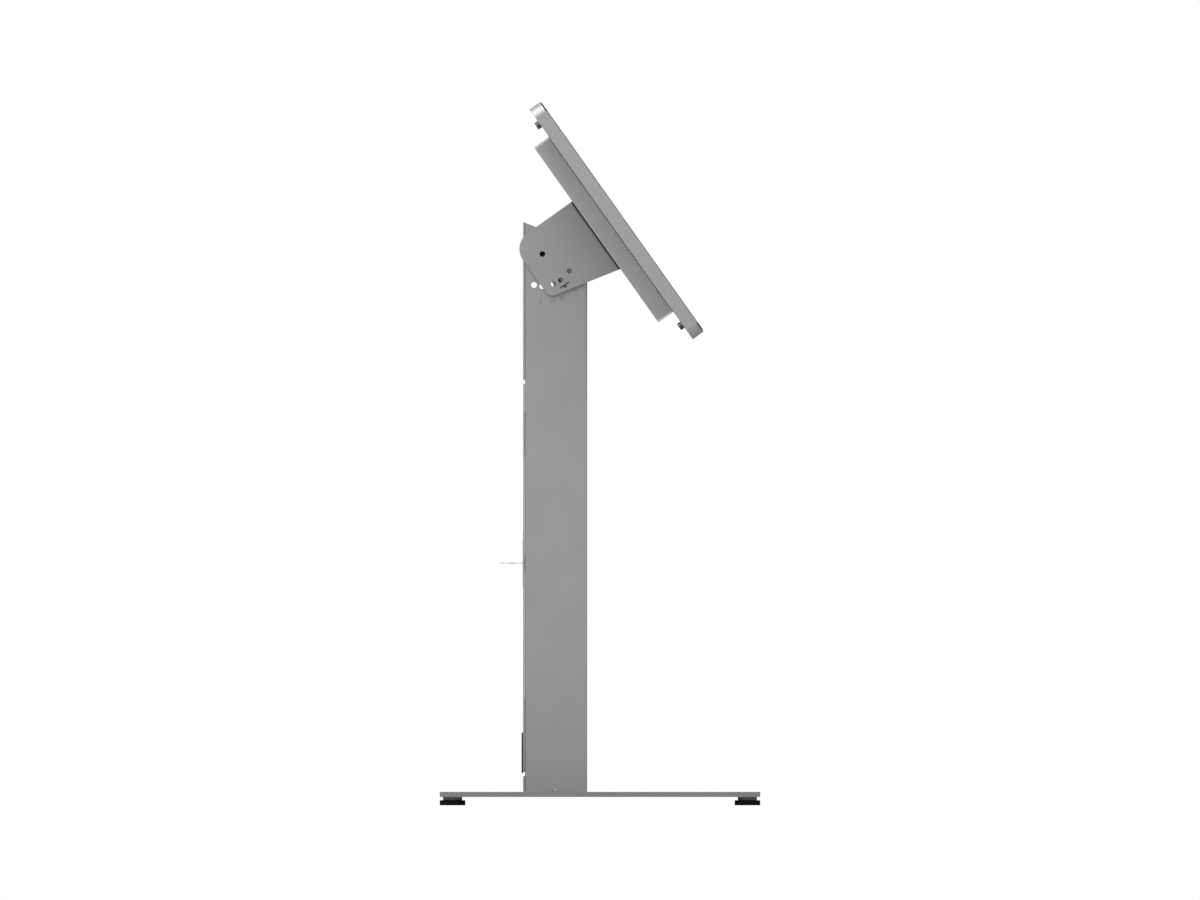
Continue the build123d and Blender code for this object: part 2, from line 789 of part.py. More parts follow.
def adapter_holder():
    """A cradle with a cup under the adapter, a strap around it and a back plate on the front wall."""
    width = adapter_width + 2 * part_gap
    depth = adapter_thickness + 2 * part_gap
    middle = front_inner + holder_sheet + depth / 2
    outer = Pos(0, middle) * Rectangle(width + 2 * holder_sheet, depth + 2 * holder_sheet)
    walls = outer - Pos(0, middle) * Rectangle(width, depth)
    back = Pos(0, front_inner + holder_sheet / 2) * Rectangle(width + 2 * holder_sheet, holder_sheet)
    low = adapter_bottom - part_gap - holder_sheet
    floor = flat_plate(outer, low, holder_sheet)
    cup = flat_plate(walls, low, holder_cup_height)
    back_plate = flat_plate(back, low, holder_strap_above + holder_strap_height)
    strap = flat_plate(walls, low + holder_strap_above, holder_strap_height)
    return floor + cup + back_plate + strap


def cable_clips():
    """Spring clips for the cables on the inside of the front wall, open in the middle."""
    middle = front_inner + clip_depth / 2
    outer = Pos(0, middle) * Rectangle(clip_width, clip_depth)
    inner = Pos(0, middle) * Rectangle(clip_width - 2 * clip_sheet, clip_depth - 2 * clip_sheet)
    entry = Pos(0, front_inner + clip_depth) * Rectangle(clip_entry, clip_depth)
    section = outer - inner - entry
    return Compound([flat_plate(section, z, clip_height) for z in clip_heights])


# Tilting head
def bracket_profile():
    """Side view of a cheek: a round ear at the pivot and a toe with the index holes."""
    ear = (-bracket_ear_radius, bracket_top)
    toe = (-bracket_ear_radius, -bracket_rear_bottom)
    front_top = (bracket_front, bracket_top)
    front_bottom = (bracket_front, -bracket_front_bottom)
    outline = make_face(Polyline(ear, front_top, front_bottom, toe, close=True))
    outline = fillet(outline.vertices().sort_by_distance(ear)[0], bracket_ear_radius)
    return fillet(outline.vertices().sort_by_distance(toe)[0], bracket_toe_radius)


def bracket_plan():
    """Top view of the folded sheet: two cheeks and the web between them."""
    length = bracket_front + bracket_ear_radius
    middle = (bracket_front - bracket_ear_radius) / 2
    outer = Pos(0, middle) * Rectangle(2 * cheek_outer, length)
    outer = fillet(outer.vertices().group_by(Axis.Y)[-1], bracket_bend)
    inner = Pos(0, middle - bracket_sheet) * Rectangle(2 * cheek_inner, length)
    inner = fillet(inner.vertices().group_by(Axis.Y)[-1], max(bracket_bend - bracket_sheet, smallest_bend))
    return outer - inner


def cable_way():
    """The opening for the screen's cables, through the web and the box."""
    return chamfer(Rectangle(cable_way_width, cable_way_height).vertices(), cable_way_corner)


def vesa_places():
    return corners(vesa_pitch / 2, vesa_pitch / 2)


def pointer():
    """Outline of the tilt pointer under the index holes: a short bar and an arrow below it."""
    bar = Pos(0, -pointer_distance) * Rectangle(pointer_bar_length, pointer_bar_width)
    half = pointer_arrow_width / 2
    tip = (0, -pointer_distance - pointer_arrow_height)
    return bar + make_face(Polyline((-half, -pointer_distance), (half, -pointer_distance), tip, close=True))


def head_bracket():
    """One sheet folded into two cheeks and a web, leaned back on the pivot."""
    sheet = head_channel(bracket_plan(), bracket_top, -bracket_front_bottom)
    side_view = Plane(origin=(0, 0, 0), x_dir=(0, -1, 0), z_dir=(-1, 0, 0))
    sheet = sheet & extrude(side_view * bracket_profile(), amount=column_width, both=True)
    pivot_hole = bore(pivot_diameter + 2 * sliding_clearance)
    holes = [bar_x(pivot_hole, -column_width, column_width, 0, 0)]
    for angle in bracket_index_angles:
        along, up = index_place(angle)
        holes.append(bar_x(Circle(bracket_index_diameter / 2), -column_width, column_width, along, up))
    for side in (-1, 1):
        mark = side_view.offset(-side * (cheek_outer - pointer_depth)) * pointer()
        holes.append(extrude(mark, amount=-side * overcut))
    web_cuts = cable_way()
    for x, z in vesa_places():
        web_cuts = web_cuts + Pos(x, z) * bore(vesa_screw_diameter + 2 * screw_clearance)
    holes.append(head_plate(web_cuts, bracket_front - 2 * bracket_sheet, 4 * bracket_sheet))
    return tilted(sheet - holes)


def head_spacers():
    """Two black strips between the bracket and the rear box, as high as the bracket's web."""
    height = bracket_top + bracket_front_bottom
    middle = (bracket_top - bracket_front_bottom) / 2 - head_middle
    strips = []
    for side in (-1, 1):
        outline = Pos(side * (cheek_outer - spacer_width / 2), middle) * Rectangle(spacer_width, height)
        strips.append(tilted(head_plate(outline, bracket_front, spacer_thickness)))
    return Compound(strips)


def vesa_screws():
    """Screws through the web into the box."""
    seat = bracket_front - bracket_sheet
    length = bracket_sheet + spacer_thickness + box_sheet + vesa_screw_past_box
    screws = []
    for x, z in vesa_places():
        head = head_plate(Pos(x, z) * shank(vesa_head_diameter), seat - vesa_head_height, vesa_head_height)
        screws.append(tilted(head + head_plate(Pos(x, z) * shank(vesa_screw_diameter), seat, length)))
    return Compound(screws)


# Rear box
def box_outline():
    return Pos(0, (box_back + frame_back) / 2) * RectangleRounded(box_width, box_depth, box_bend)


def rear_box():
    """The folded tray: back wall, side walls and lips turned in under the frame."""
    inner = Rectangle(box_width - 2 * box_sheet, box_depth - 2 * box_sheet)
    mouth = Pos(0, frame_back) * Rectangle(box_width - 2 * box_lip, 4 * box_sheet)
    section = box_outline() - Pos(0, (box_back + frame_back) / 2) * inner - mouth
    half = box_height / 2 - box_end_thickness
    tray = head_channel(section, head_middle + half, head_middle - half)
    cuts = cable_way()
    for x, z in vesa_places():
        cuts = cuts + Pos(x, z) * bore(vesa_screw_diameter + 2 * screw_clearance)
    return tilted(tray - head_plate(cuts, box_back - overcut, 2 * overcut))


def box_end(side):
    """An end plate of the box with a row of vent slots."""
    top = head_middle + side * box_height / 2
    low = top - side * box_end_thickness
    outline = box_outline()
    pitch = (box_width - 2 * vent_margin) / (vent_count - 1)
    for number in range(vent_count):
        x = vent_margin - box_width / 2 + pitch * number
        outline = outline - Pos(x, (box_back + frame_back) / 2) * Rectangle(vent_width, vent_length)
    return tilted(head_channel(outline, max(top, low), min(top, low)))


def board_standoffs():
    """Pillars under the corners of the main board."""
    reach = board_size / 2 - standoff_inset
    pillars = []
    for x, z in corners(reach, reach):
        pillar = Pos(board_x + x, z) * hexagon(standoff_flats)
        pillars.append(tilted(head_plate(pillar, box_back + box_sheet, board_standoff)))
    return Compound(pillars)


def main_board():
    """The computer board with its finned heat sink and a row of sockets."""
    start = box_back + box_sheet + board_standoff
    face = start + board_thickness
    pieces = [head_plate(Pos(board_x, 0) * Rectangle(board_size, board_size), start, board_thickness)]
    base = Pos(board_x, sink_above_middle) * Rectangle(sink_size, sink_size)
    pieces.append(head_plate(base, face, sink_base_thickness))
    fin_pitch = (sink_size - fin_thickness) / (fin_count - 1)
    for number in range(fin_count):
        x = board_x - (sink_size - fin_thickness) / 2 + fin_pitch * number
        fin = Pos(x, sink_above_middle) * Rectangle(fin_thickness, sink_size)
        pieces.append(head_plate(fin, face, sink_height))
    for number in range(socket_count):
        x = board_x + socket_pitch * (number - (socket_count - 1) / 2)
        socket = Pos(x, (socket_depth - board_size) / 2) * Rectangle(socket_width, socket_depth)
        pieces.append(head_plate(socket, face, socket_height))
    return tilted(pieces[0] + pieces[1:])


def power_board():
    """The screen's power and backlight unit in its metal case."""
    case = Pos(supply_x, 0) * Rectangle(supply_width, supply_height)
    return tilted(head_plate(case, box_back + box_sheet, supply_thickness))


# Screen
def frame_outline(inset):
    radius = frame_corner_radius - inset
    return RectangleRounded(screen_width - 2 * inset, screen_height - 2 * inset, radius)


def thumbscrew_places():
    return corners(thumbscrew_x, thumbscrew_from_middle)


def screen_frame():
    """A folded pan; its front lips run along the straight sides and stop short of the corners."""
    back = frame_outline(0) - Rectangle(frame_opening_width, frame_opening_height)
    for x, z in thumbscrew_places():
        back = back - Pos(x, z) * bore(thumbscrew_shank_diameter + 2 * screw_clearance)
    rim = frame_outline(0) - frame_outline(frame_wall)
    along = Rectangle(screen_width - 2 * frame_corner_radius, screen_height)
    upright = Rectangle(screen_width, screen_height - 2 * frame_corner_radius)
    lips = rim & (along + upright)
    pan = head_plate(back, frame_back, frame_back_sheet)
    wall = head_plate(rim, frame_back, glass_back - frame_back)
    return tilted(pan + wall + head_plate(lips, glass_back, glass_thickness))


def panel_rails():
    """Two upright rails on the back of the display panel, which the thumbscrews pull in."""
    start = frame_back + frame_back_sheet
    rails = []
    for side in (-1, 1):
        rail = Pos(side * thumbscrew_x, 0) * Rectangle(rail_width, rail_length)
        for end in (-1, 1):
            hole = bore(thumbscrew_shank_diameter + 2 * sliding_clearance)
            rail = rail - Pos(side * thumbscrew_x, end * thumbscrew_from_middle) * hole
        rails.append(tilted(head_plate(rail, start, lcd_back - start)))
    return Compound(rails)


def thumbscrews():
    """Black knurled screws on the back of the frame."""
    length = lcd_back - frame_back - part_gap
    screws = []
    for x, z in thumbscrew_places():
        head = Pos(x, z) * RegularPolygon(thumbscrew_diameter / 2, thumbscrew_sides)
        knob = head_plate(head, frame_back - thumbscrew_height, thumbscrew_height)
        stem = head_plate(Pos(x, z) * shank(thumbscrew_shank_diameter), frame_back, length)
        screws.append(tilted(knob + stem))
    return Compound(screws)


def lcd_panel():
    """The display panel, a closed metal tray."""
    return tilted(head_plate(Rectangle(lcd_width, lcd_height), lcd_back, lcd_thickness))


def glass_gasket():
    """A foam ring between the display panel and the glass."""
    width = lcd_width - 2 * gasket_inset
    height = lcd_height - 2 * gasket_inset
    outline = Rectangle(width, height) - Rectangle(width - 2 * gasket_width, height - 2 * gasket_width)
    return tilted(head_plate(outline, glass_back - gasket_thickness, gasket_thickness))


def cover_glass():
    return tilted(head_plate(frame_outline(frame_wall + glass_gap), glass_back, glass_thickness))


# All the pieces, one file for each
def write_pieces():
    pieces = {
        "base_plate": base_plate(),
        "foot_collars": foot_collars(),
        "base_bolts": base_bolts(),
        "column": column(),
        "column_foot": column_foot(),
        "top_cap": top_cap(),
        "top_trim": top_trim(),
        "rear_cover_upper": rear_cover_upper(),
        "rear_cover_lower": rear_cover_lower(),
        "rear_door": rear_door(),
        "hinge_leaves": hinge_leaves(),
        "hinge_pins": hinge_pins(),
        "cable_outlet": cable_outlet(),
        "lock_plate": lock_plate(),
        "lock_housing": lock_housing(),
        "lock_nut": lock_nut(),
        "lock_core": lock_core(),
        "lock_cam": lock_cam(),
        "cam_screw": cam_screw(),
        "key": key(),
        "pivot_tube": pivot_tube(),
        "pivot_screws": pivot_screws(),
        "friction_washers": friction_washers(),
        "plunger_barrels": plunger_barrels(),
        "plunger_springs": plunger_springs(),
        "plunger_pin_left": plunger_pin(-1),
        "plunger_pin_right": plunger_pin(1),
        "power_adapter": power_adapter(),
        "adapter_holder": adapter_holder(),
        "cable_clips": cable_clips(),
        "head_bracket": head_bracket(),
        "head_spacers": head_spacers(),
        "vesa_screws": vesa_screws(),
        "rear_box": rear_box(),
        "box_end_top": box_end(1),
        "box_end_bottom": box_end(-1),
        "board_standoffs": board_standoffs(),
        "main_board": main_board(),
        "power_board": power_board(),
        "screen_frame": screen_frame(),
        "panel_rails": panel_rails(),
        "thumbscrews": thumbscrews(),
        "lcd_panel": lcd_panel(),
        "glass_gasket": glass_gasket(),
        "cover_glass": cover_glass(),
    }
    for name, (x, y) in foot_places().items():
        pieces["foot_pad_" + name] = foot_pad(x, y)
        pieces["foot_stud_" + name] = foot_stud(x, y)
    os.makedirs("parts", exist_ok=True)
    for node, shape in pieces.items():
        export_step(shape, "parts/" + node + ".step")


write_pieces()
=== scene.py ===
"""Looks of a screen kiosk stand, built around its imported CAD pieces."""

import json
import math

import bmesh
import bpy
from bpy.props import FloatProperty, FloatVectorProperty, IntProperty, PointerProperty
from bpy.types import Operator, Panel, PropertyGroup
from mathutils import Matrix, Vector


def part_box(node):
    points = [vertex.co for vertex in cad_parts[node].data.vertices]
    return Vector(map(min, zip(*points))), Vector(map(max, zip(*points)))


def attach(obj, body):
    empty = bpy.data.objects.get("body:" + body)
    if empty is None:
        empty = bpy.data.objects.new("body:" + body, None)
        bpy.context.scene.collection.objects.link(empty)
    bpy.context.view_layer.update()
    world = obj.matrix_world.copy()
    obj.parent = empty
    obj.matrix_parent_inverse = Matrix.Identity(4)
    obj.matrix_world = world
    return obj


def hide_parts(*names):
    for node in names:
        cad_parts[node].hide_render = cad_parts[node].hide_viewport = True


bl_info = {
    "name": "Screen Kiosk Stand",
    "version": (1, 0, 0),
    "blender": (4, 5, 0),
    "location": "3D View > Sidebar > Kiosk",
    "description": "Finishes and small parts of a floor-standing screen kiosk",
    "category": "Object",
}

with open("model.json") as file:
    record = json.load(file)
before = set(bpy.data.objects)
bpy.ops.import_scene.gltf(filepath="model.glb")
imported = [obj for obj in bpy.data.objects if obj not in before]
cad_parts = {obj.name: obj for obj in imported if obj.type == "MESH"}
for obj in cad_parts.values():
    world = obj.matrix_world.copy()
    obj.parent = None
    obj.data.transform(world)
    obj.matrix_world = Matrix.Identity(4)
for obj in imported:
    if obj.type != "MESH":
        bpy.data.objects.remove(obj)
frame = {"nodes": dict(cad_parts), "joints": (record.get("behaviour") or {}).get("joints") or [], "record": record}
NODES = frame["nodes"]
JOINTS = {joint["name"]: joint for joint in frame["joints"]}
BODY_OF = {node: body for body, nodes in frame["record"]["behaviour"]["bodies"].items() for node in nodes}
SLOT_OF = {part["node"]: part["material_slot"] for part in frame["record"]["subparts"]}

MM = 0.001
SIDES = (-1, 1)
SAME_POINT = 1e-6    # corners nearer than this are one, in metres
TINY_EDGE = 2e-6     # edges shorter than this are taken out, in metres
SAME_LEVEL = 1e-5    # faces nearer than this lie in one plane, in metres
SAME_WAY = 0.99      # least cosine between two directions that count as one
PAST = 1 * MM        # how far a cutter runs past the piece that it cuts
SOFT_ANGLE = 35.0    # edges flatter than this are smoothed, in degrees
EASED_ANGLE = 50.0   # the same on pieces with eased edges


# Places taken from the frame

def lean_angle():
    """How far the screen leans back, from the tilt joint's way to upright."""
    return math.radians(-JOINTS["head_tilt"]["range_deg"][0])


def pivot_point():
    return Vector(JOINTS["head_tilt"]["pos_m"])


def axes(x, y, z):
    """A turn from the directions that it gives to X, Y and Z."""
    return Matrix((x, y, z)).transposed()


def head_axes():
    """X across the screen, Y up the screen, Z out of the front of the screen."""
    lean = lean_angle()
    up = Vector((0, math.sin(lean), math.cos(lean)))
    front = Vector((0, -math.cos(lean), math.sin(lean)))
    return axes(Vector((1, 0, 0)), up, front)


def back_axes():
    """Z out of the back of the screen."""
    head = head_axes()
    return axes(head.col[0], -head.col[1], -head.col[2])


def side_place(side, x, y, z):
    """A place on the left (-1) or right (+1) of the kiosk, with Y up and Z out of that side."""
    turn = axes(Vector((0, side, 0)), Vector((0, 0, 1)), Vector((side, 0, 0)))
    return Matrix.Translation((side * x, y, z)) @ turn.to_4x4()


def furthest(node, turn):
    """The furthest level of a node along the Z of turned axes."""
    return max((turn.transposed() @ v.co).z for v in NODES[node].data.vertices)


def solids(node, turn=None):
    """Lowest and highest corner of each separate solid of a CAD node, seen in turned axes."""
    turn = turn or Matrix.Identity(3)
    mesh = bmesh.new()
    mesh.from_mesh(NODES[node].data)
    bmesh.ops.remove_doubles(mesh, verts=mesh.verts, dist=SAME_POINT)
    left = set(mesh.verts)
    found = []
    while left:
        group = {left.pop()}
        edge = set(group)
        while edge:
            edge = {e.other_vert(v) for v in edge for e in v.link_edges} - group
            group |= edge
        left -= group
        points = [turn.transposed() @ v.co for v in group]
        low = Vector([min(p[i] for p in points) for i in range(3)])
        high = Vector([max(p[i] for p in points) for i in range(3)])
        found.append((low, high))
    mesh.free()
    return sorted(found, key=lambda box: tuple(round(c, 4) for c in box[0]))


def seat(turn, low, high):
    """The place of a small part: the middle of the low end of its solid, with Z out of the seat."""
    middle = (low + high) / 2
    point = turn @ Vector((middle.x, middle.y, low.z))
    return Matrix.Translation(point) @ turn.to_4x4()


# Materials

def linear(colour):
    """A linear colour from an sRGB hex value."""
    channels = [(colour >> shift & 255) / 255 for shift in (16, 8, 0)]
    return [c / 12.92 if c <= 0.04045 else ((c + 0.055) / 1.055) ** 2.4 for c in channels] + [1.0]


def add_node(tree, kind, values=None, **settings):
    """Adds a node; a value that is a socket is linked, and any other is set."""
    node = tree.nodes.new(kind)
    for name, value in settings.items():
        setattr(node, name, value)
    for socket, value in (values or {}).items():
        if isinstance(value, bpy.types.NodeSocket):
            tree.links.new(value, node.inputs[socket])
        else:
            node.inputs[socket].default_value = value
    return node


def new_material(name, **constants):
    """A material with one shader, whose constant values are set on its own sockets."""
    material = bpy.data.materials.new(name)
    material.use_nodes = True
    tree = material.node_tree
    tree.nodes.clear()
    shader = add_node(tree, "ShaderNodeBsdfPrincipled")
    for socket, value in constants.items():
        shader.inputs[socket.replace("_", " ")].default_value = value
    add_node(tree, "ShaderNodeOutputMaterial", {"Surface": shader.outputs["BSDF"]})
    return material, tree, shader


def grain(tree, size_mm, detail=2.0, stretch=(1, 1, 1)):
    """A noise whose grains have a real size, on the piece's own coordinates."""
    place = add_node(tree, "ShaderNodeTexCoord").outputs["Object"]
    mapped = add_node(tree, "ShaderNodeMapping", {"Vector": place, "Scale": stretch})
    values = {"Vector": mapped.outputs["Vector"], "Scale": 1 / (size_mm * MM), "Detail": detail}
    return add_node(tree, "ShaderNodeTexNoise", values).outputs["Fac"]


def vary(tree, shader, pattern, colours=None, roughness=None, relief=None, spread=(0.35, 0.65)):
    """Lets a pattern vary a finish between two colours, between two roughnesses, and in relief.

    The relief is a depth in millimetres and a strength. The spread is the part of the pattern's
    range over which the colour and the roughness go from the first value to the second.
    """
    if colours or roughness:
        values = {"Value": pattern, "From Min": spread[0], "From Max": spread[1]}
        share = add_node(tree, "ShaderNodeMapRange", values).outputs["Result"]
    if colours:
        first, second = [linear(c) if isinstance(c, int) else c for c in colours]
        mix = add_node(tree, "ShaderNodeMix", {0: share, 6: first, 7: second}, data_type="RGBA")
        tree.links.new(mix.outputs[2], shader.inputs["Base Color"])
    if roughness:
        values = {"Value": share, "To Min": roughness[0], "To Max": roughness[1]}
        rough = add_node(tree, "ShaderNodeMapRange", values)
        tree.links.new(rough.outputs["Result"], shader.inputs["Roughness"])
    if relief:
        values = {"Height": pattern, "Distance": relief[0] * MM, "Strength": relief[1]}
        bump = add_node(tree, "ShaderNodeBump", values)
        tree.links.new(bump.outputs["Normal"], shader.inputs["Normal"])


def grained(name, size_mm, detail, colours=None, roughness=None, relief=None, stretch=(1, 1, 1), **constants):
    """A material whose colour, roughness and relief follow one grain of a real size."""
    material, tree, shader = new_material(name, **constants)
    vary(tree, shader, grain(tree, size_mm, detail, stretch), colours, roughness, relief)
    return material


def powder_coat(name, light, dark, coat=0.0):
    """Polyester powder coat baked on steel: an even satin grey with a faint orange peel."""
    material, tree, shader = new_material("powder_coated_" + name, Metallic=0.0, Specular_IOR_Level=0.35,
                                          Coat_Weight=coat, Coat_Roughness=0.2)
    vary(tree, shader, grain(tree, 90.0), (light, dark))
    # The peel of the real coat is about 0.8 mm across; it is drawn at 1.6 mm to show in the render.
    vary(tree, shader, grain(tree, 1.6, 1.0), roughness=(0.42, 0.50), relief=(0.03, 0.5))
    return material


def zinc_plate():
    """Bright zinc plating: pale blue-grey metal, slightly cloudy where the bath flowed."""
    return grained("zinc_plated_steel", 6.0, 4.0, (0xA6A8A9, 0x8C8E90), (0.26, 0.40), Metallic=1.0)


def phosphated():
    """Phosphated steel under oil: a dull dark grey that takes the light only where it falls straight on."""
    return grained("phosphated_steel_collars", 1.4, 3.0, (0x767676, 0x6A6A6A), (0.5, 0.62),
                   Metallic=0.25, Specular_IOR_Level=0.3)


def nickel_plate():
    """Polished nickel on a die-cast lock: bright, with hair-fine rubbing marks."""
    return grained("nickel_plated_zinc_alloy", 0.5, 2.0, None, (0.14, 0.26), stretch=(1, 1, 12),
                   Metallic=1.0, Base_Color=linear(0xD6D4D0))


def black_oxide():
    """Black oxide on hardened steel: dark, oily, semi-matt metal."""
    return grained("black_oxide_steel", 1.2, 3.0, (0x0A0A0B, 0x141415), (0.38, 0.52),
                   Metallic=0.7, Specular_IOR_Level=0.3)


def moulded_plastic(name, colour, second, grain_mm=0.8, roughness=0.5):
    """Moulded plastic with a spark-eroded grain that scatters the highlight."""
    # The real grain is finer than 0.3 mm; it is drawn coarser so that it shows.
    return grained(name, grain_mm, 3.0, (colour, second), (roughness - 0.06, roughness + 0.08), (0.04, 0.6),
                   Metallic=0.0, IOR=1.53, Specular_IOR_Level=0.35)


def tumbled_plastic():
    """Hard phenolic plastic, tumbled to a shine that fingers keep up: black with bright glints."""
    return grained("tumbled_phenolic_knobs", 1.5, 3.0, (0x0D0D0D, 0x161616), (0.22, 0.34),
                   Metallic=0.0, IOR=1.6, Coat_Weight=1.0, Coat_Roughness=0.16)


def rubber():
    """Moulded nitrile rubber: almost black, matt, with dust in its pores."""
    return grained("moulded_nitrile_rubber", 1.5, 4.0, (0x070707, 0x0F0F0F), (0.58, 0.74), (0.05, 0.5),
                   Metallic=0.0, IOR=1.52, Specular_IOR_Level=0.05)


def foam():
    """Closed-cell foam tape: matt black with open pores along its cut edge."""
    return grained("closed_cell_foam", 0.9, 3.0, (0x18181A, 0x2A2A2C), None, (0.12, 0.8),
                   Metallic=0.0, Roughness=0.9)


def galvanised():
    """Hot-dip galvanised sheet: grey metal with a spangle of flat crystals."""
    material, tree, shader = new_material("galvanised_sheet", Metallic=1.0)
    crystal_mm = 9.0
    place = add_node(tree, "ShaderNodeTexCoord").outputs["Object"]
    values = {"Vector": place, "Scale": 1 / (crystal_mm * MM)}
    spangle = add_node(tree, "ShaderNodeTexVoronoi", values).outputs["Color"]
    shade = add_node(tree, "ShaderNodeSeparateColor", {"Color": spangle}).outputs[0]
    vary(tree, shader, shade, (0xA2A5A7, 0xC0C2C3), (0.32, 0.48), spread=(0.0, 1.0))
    return material


def anodised():
    """Bead-blasted, clear-anodised aluminium: even silver-grey with a soft sheen."""
    # The blast grain is under 0.1 mm; it is drawn at 0.9 mm so that the sheen breaks up.
    return grained("anodised_aluminium_frame", 0.9, 2.0, (0xA6A6A7, 0xA0A0A1), (0.42, 0.52), (0.02, 0.4),
                   Metallic=0.8, Specular_IOR_Level=0.35)


def natural_aluminium():
    """Anodised aluminium with a fine directional grain, far paler than the paint beside it; on the box's end
    plates the paleness is a painted highlight for the light that their ends catch, on the heat sink it is the
    metal's own tone.
    """
    return grained("anodised_aluminium_with_painted_highlight", 1.0, 2.0, (0xE2E2E2, 0xD6D6D6), (0.34, 0.44),
                   stretch=(1, 6, 6), Metallic=0.0, Coat_Weight=0.3, Coat_Roughness=0.2)


def circuit_board():
    """Glass-fibre board under green solder mask: glossy, with the weave just showing."""
    material, tree, shader = new_material("solder_masked_board", Metallic=0.0, Coat_Weight=0.4,
                                          Coat_Roughness=0.12)
    tracks = grain(tree, 14.0, 0.0, (1, 4, 1))
    vary(tree, shader, tracks, (0x0F3B22, 0x17502F), spread=(0.48, 0.52))
    vary(tree, shader, grain(tree, 1.2, 1.0), relief=(0.03, 0.5))
    return material


def screen_glass():
    """Toughened touch glass over a black printed border: a dark, clean reflection."""
    return grained("toughened_touch_glass", 220.0, 3.0, None, (0.05, 0.11), Metallic=0.0, IOR=1.5,
                   Coat_Weight=1.0, Coat_Roughness=0.03, Base_Color=linear(0x050506))


def dark_display():
    """A liquid-crystal display that is switched off, seen through the glass: neutral charcoal."""
    return grained("switched_off_display", 260.0, 2.0, (0x18191B, 0x1C1D1F), (0.12, 0.18), Metallic=0.0,
                   IOR=1.5, Coat_Weight=1.0, Coat_Roughness=0.03)


def ground_edge():
    """The ground edge of the glass, sealed black: matt, without the shine of the face."""
    return grained("sealed_ground_edge", 0.8, 2.0, (0x101010, 0x1A1A1A), (0.6, 0.75),
                   Metallic=0.0, Specular_IOR_Level=0.1)


def printed_ink():
    """Grey pad-printing ink, a shade darker than the powder coat under it."""
    return grained("pad_printed_ink", 2.0, 3.0, (0x6C6C6C, 0x787878), Roughness=0.55)


def filled_paint():
    """Dark enamel wiped into the engraved pointer, slightly uneven where it was wiped."""
    return grained("filled_enamel_paint", 3.0, 2.0, (0x3C3C3C, 0x4A4A4A), Roughness=0.5)


FINISHES = {
    "base_steel": (powder_coat, "base_plate", 0x848484, 0x808080, 0.35),
    "column_steel": (powder_coat, "column", 0x9F9F9F, 0x9C9C9C),
    "cover_steel": (powder_coat, "covers", 0xA5A5A5, 0xA2A2A2),
    "bracket_steel": (powder_coat, "bracket", 0x9E9E9E, 0x9B9B9B),
    # The box's coat is a shade paler than the column's. This is painted light: it makes up for the shade that the
    # wider screen frame casts on the box's sides.
    "box_steel": (powder_coat, "box", 0xAEAEAE, 0xAAAAAA),
    "frame_aluminium": (anodised,),
    "plated_steel": (zinc_plate,),
    "lock_metal": (nickel_plate,),
    "black_steel": (black_oxide,),
    "black_plastic": (moulded_plastic, "moulded_black_abs", 0x0C0C0D, 0x121213),
    "adapter_plastic": (moulded_plastic, "textured_black_polycarbonate", 0x111112, 0x1A1A1B, 1.2, 0.55),
    "black_rubber": (rubber,),
    "gasket_foam": (foam,),
    "board_green": (circuit_board,),
    "case_steel": (galvanised,),
    "supply_case": (galvanised,),
    "panel_module": (galvanised,),
    # On the box's end plates this pale aluminium is a painted highlight for the light that their ends catch; the
    # heat sink shares the finish.
    "end_aluminium": (natural_aluminium,),
    "cover_glass": (screen_glass,),
}
materials = {}


def material_for(slot):
    """The finish of a slot of the record, made once."""
    if slot not in materials:
        make, *values = FINISHES[slot]
        materials[slot] = make(*values)
    return materials[slot]


# Modelling

def rest():
    """Object mode with nothing selected."""
    if bpy.context.mode != "OBJECT":
        bpy.ops.object.mode_set(mode="OBJECT")
    bpy.ops.object.select_all(action="DESELECT")


def make_active(piece):
    rest()
    piece.select_set(True)
    bpy.context.view_layer.objects.active = piece
    return piece


def new_start():
    """The primitive that was just added, with its place and size in its mesh."""
    piece = make_active(bpy.context.object)
    bpy.ops.object.transform_apply(location=True, rotation=True, scale=True)
    return piece


def edit_all(piece, mode="FACE"):
    """Edit mode with the whole piece selected."""
    make_active(piece)
    bpy.ops.object.mode_set(mode="EDIT")
    bpy.ops.mesh.select_mode(type=mode)
    bpy.ops.mesh.select_all(action="SELECT")


def select_faces(piece, test):
    """Edit mode with only those faces selected whose middle and normal pass the test."""
    edit_all(piece)
    bpy.ops.mesh.select_all(action="DESELECT")
    mesh = bmesh.from_edit_mesh(piece.data)
    for face in mesh.faces:
        face.select = bool(test(face.calc_center_median(), face.normal))
    bmesh.update_edit_mesh(piece.data)


def add_modifier(piece, kind, **settings):
    """Adds a modifier and applies it."""
    make_active(piece)
    modifier = piece.modifiers.new(kind.lower(), kind)
    for name, value in settings.items():
        setattr(modifier, name, value)
    bpy.ops.object.modifier_apply(modifier=modifier.name)


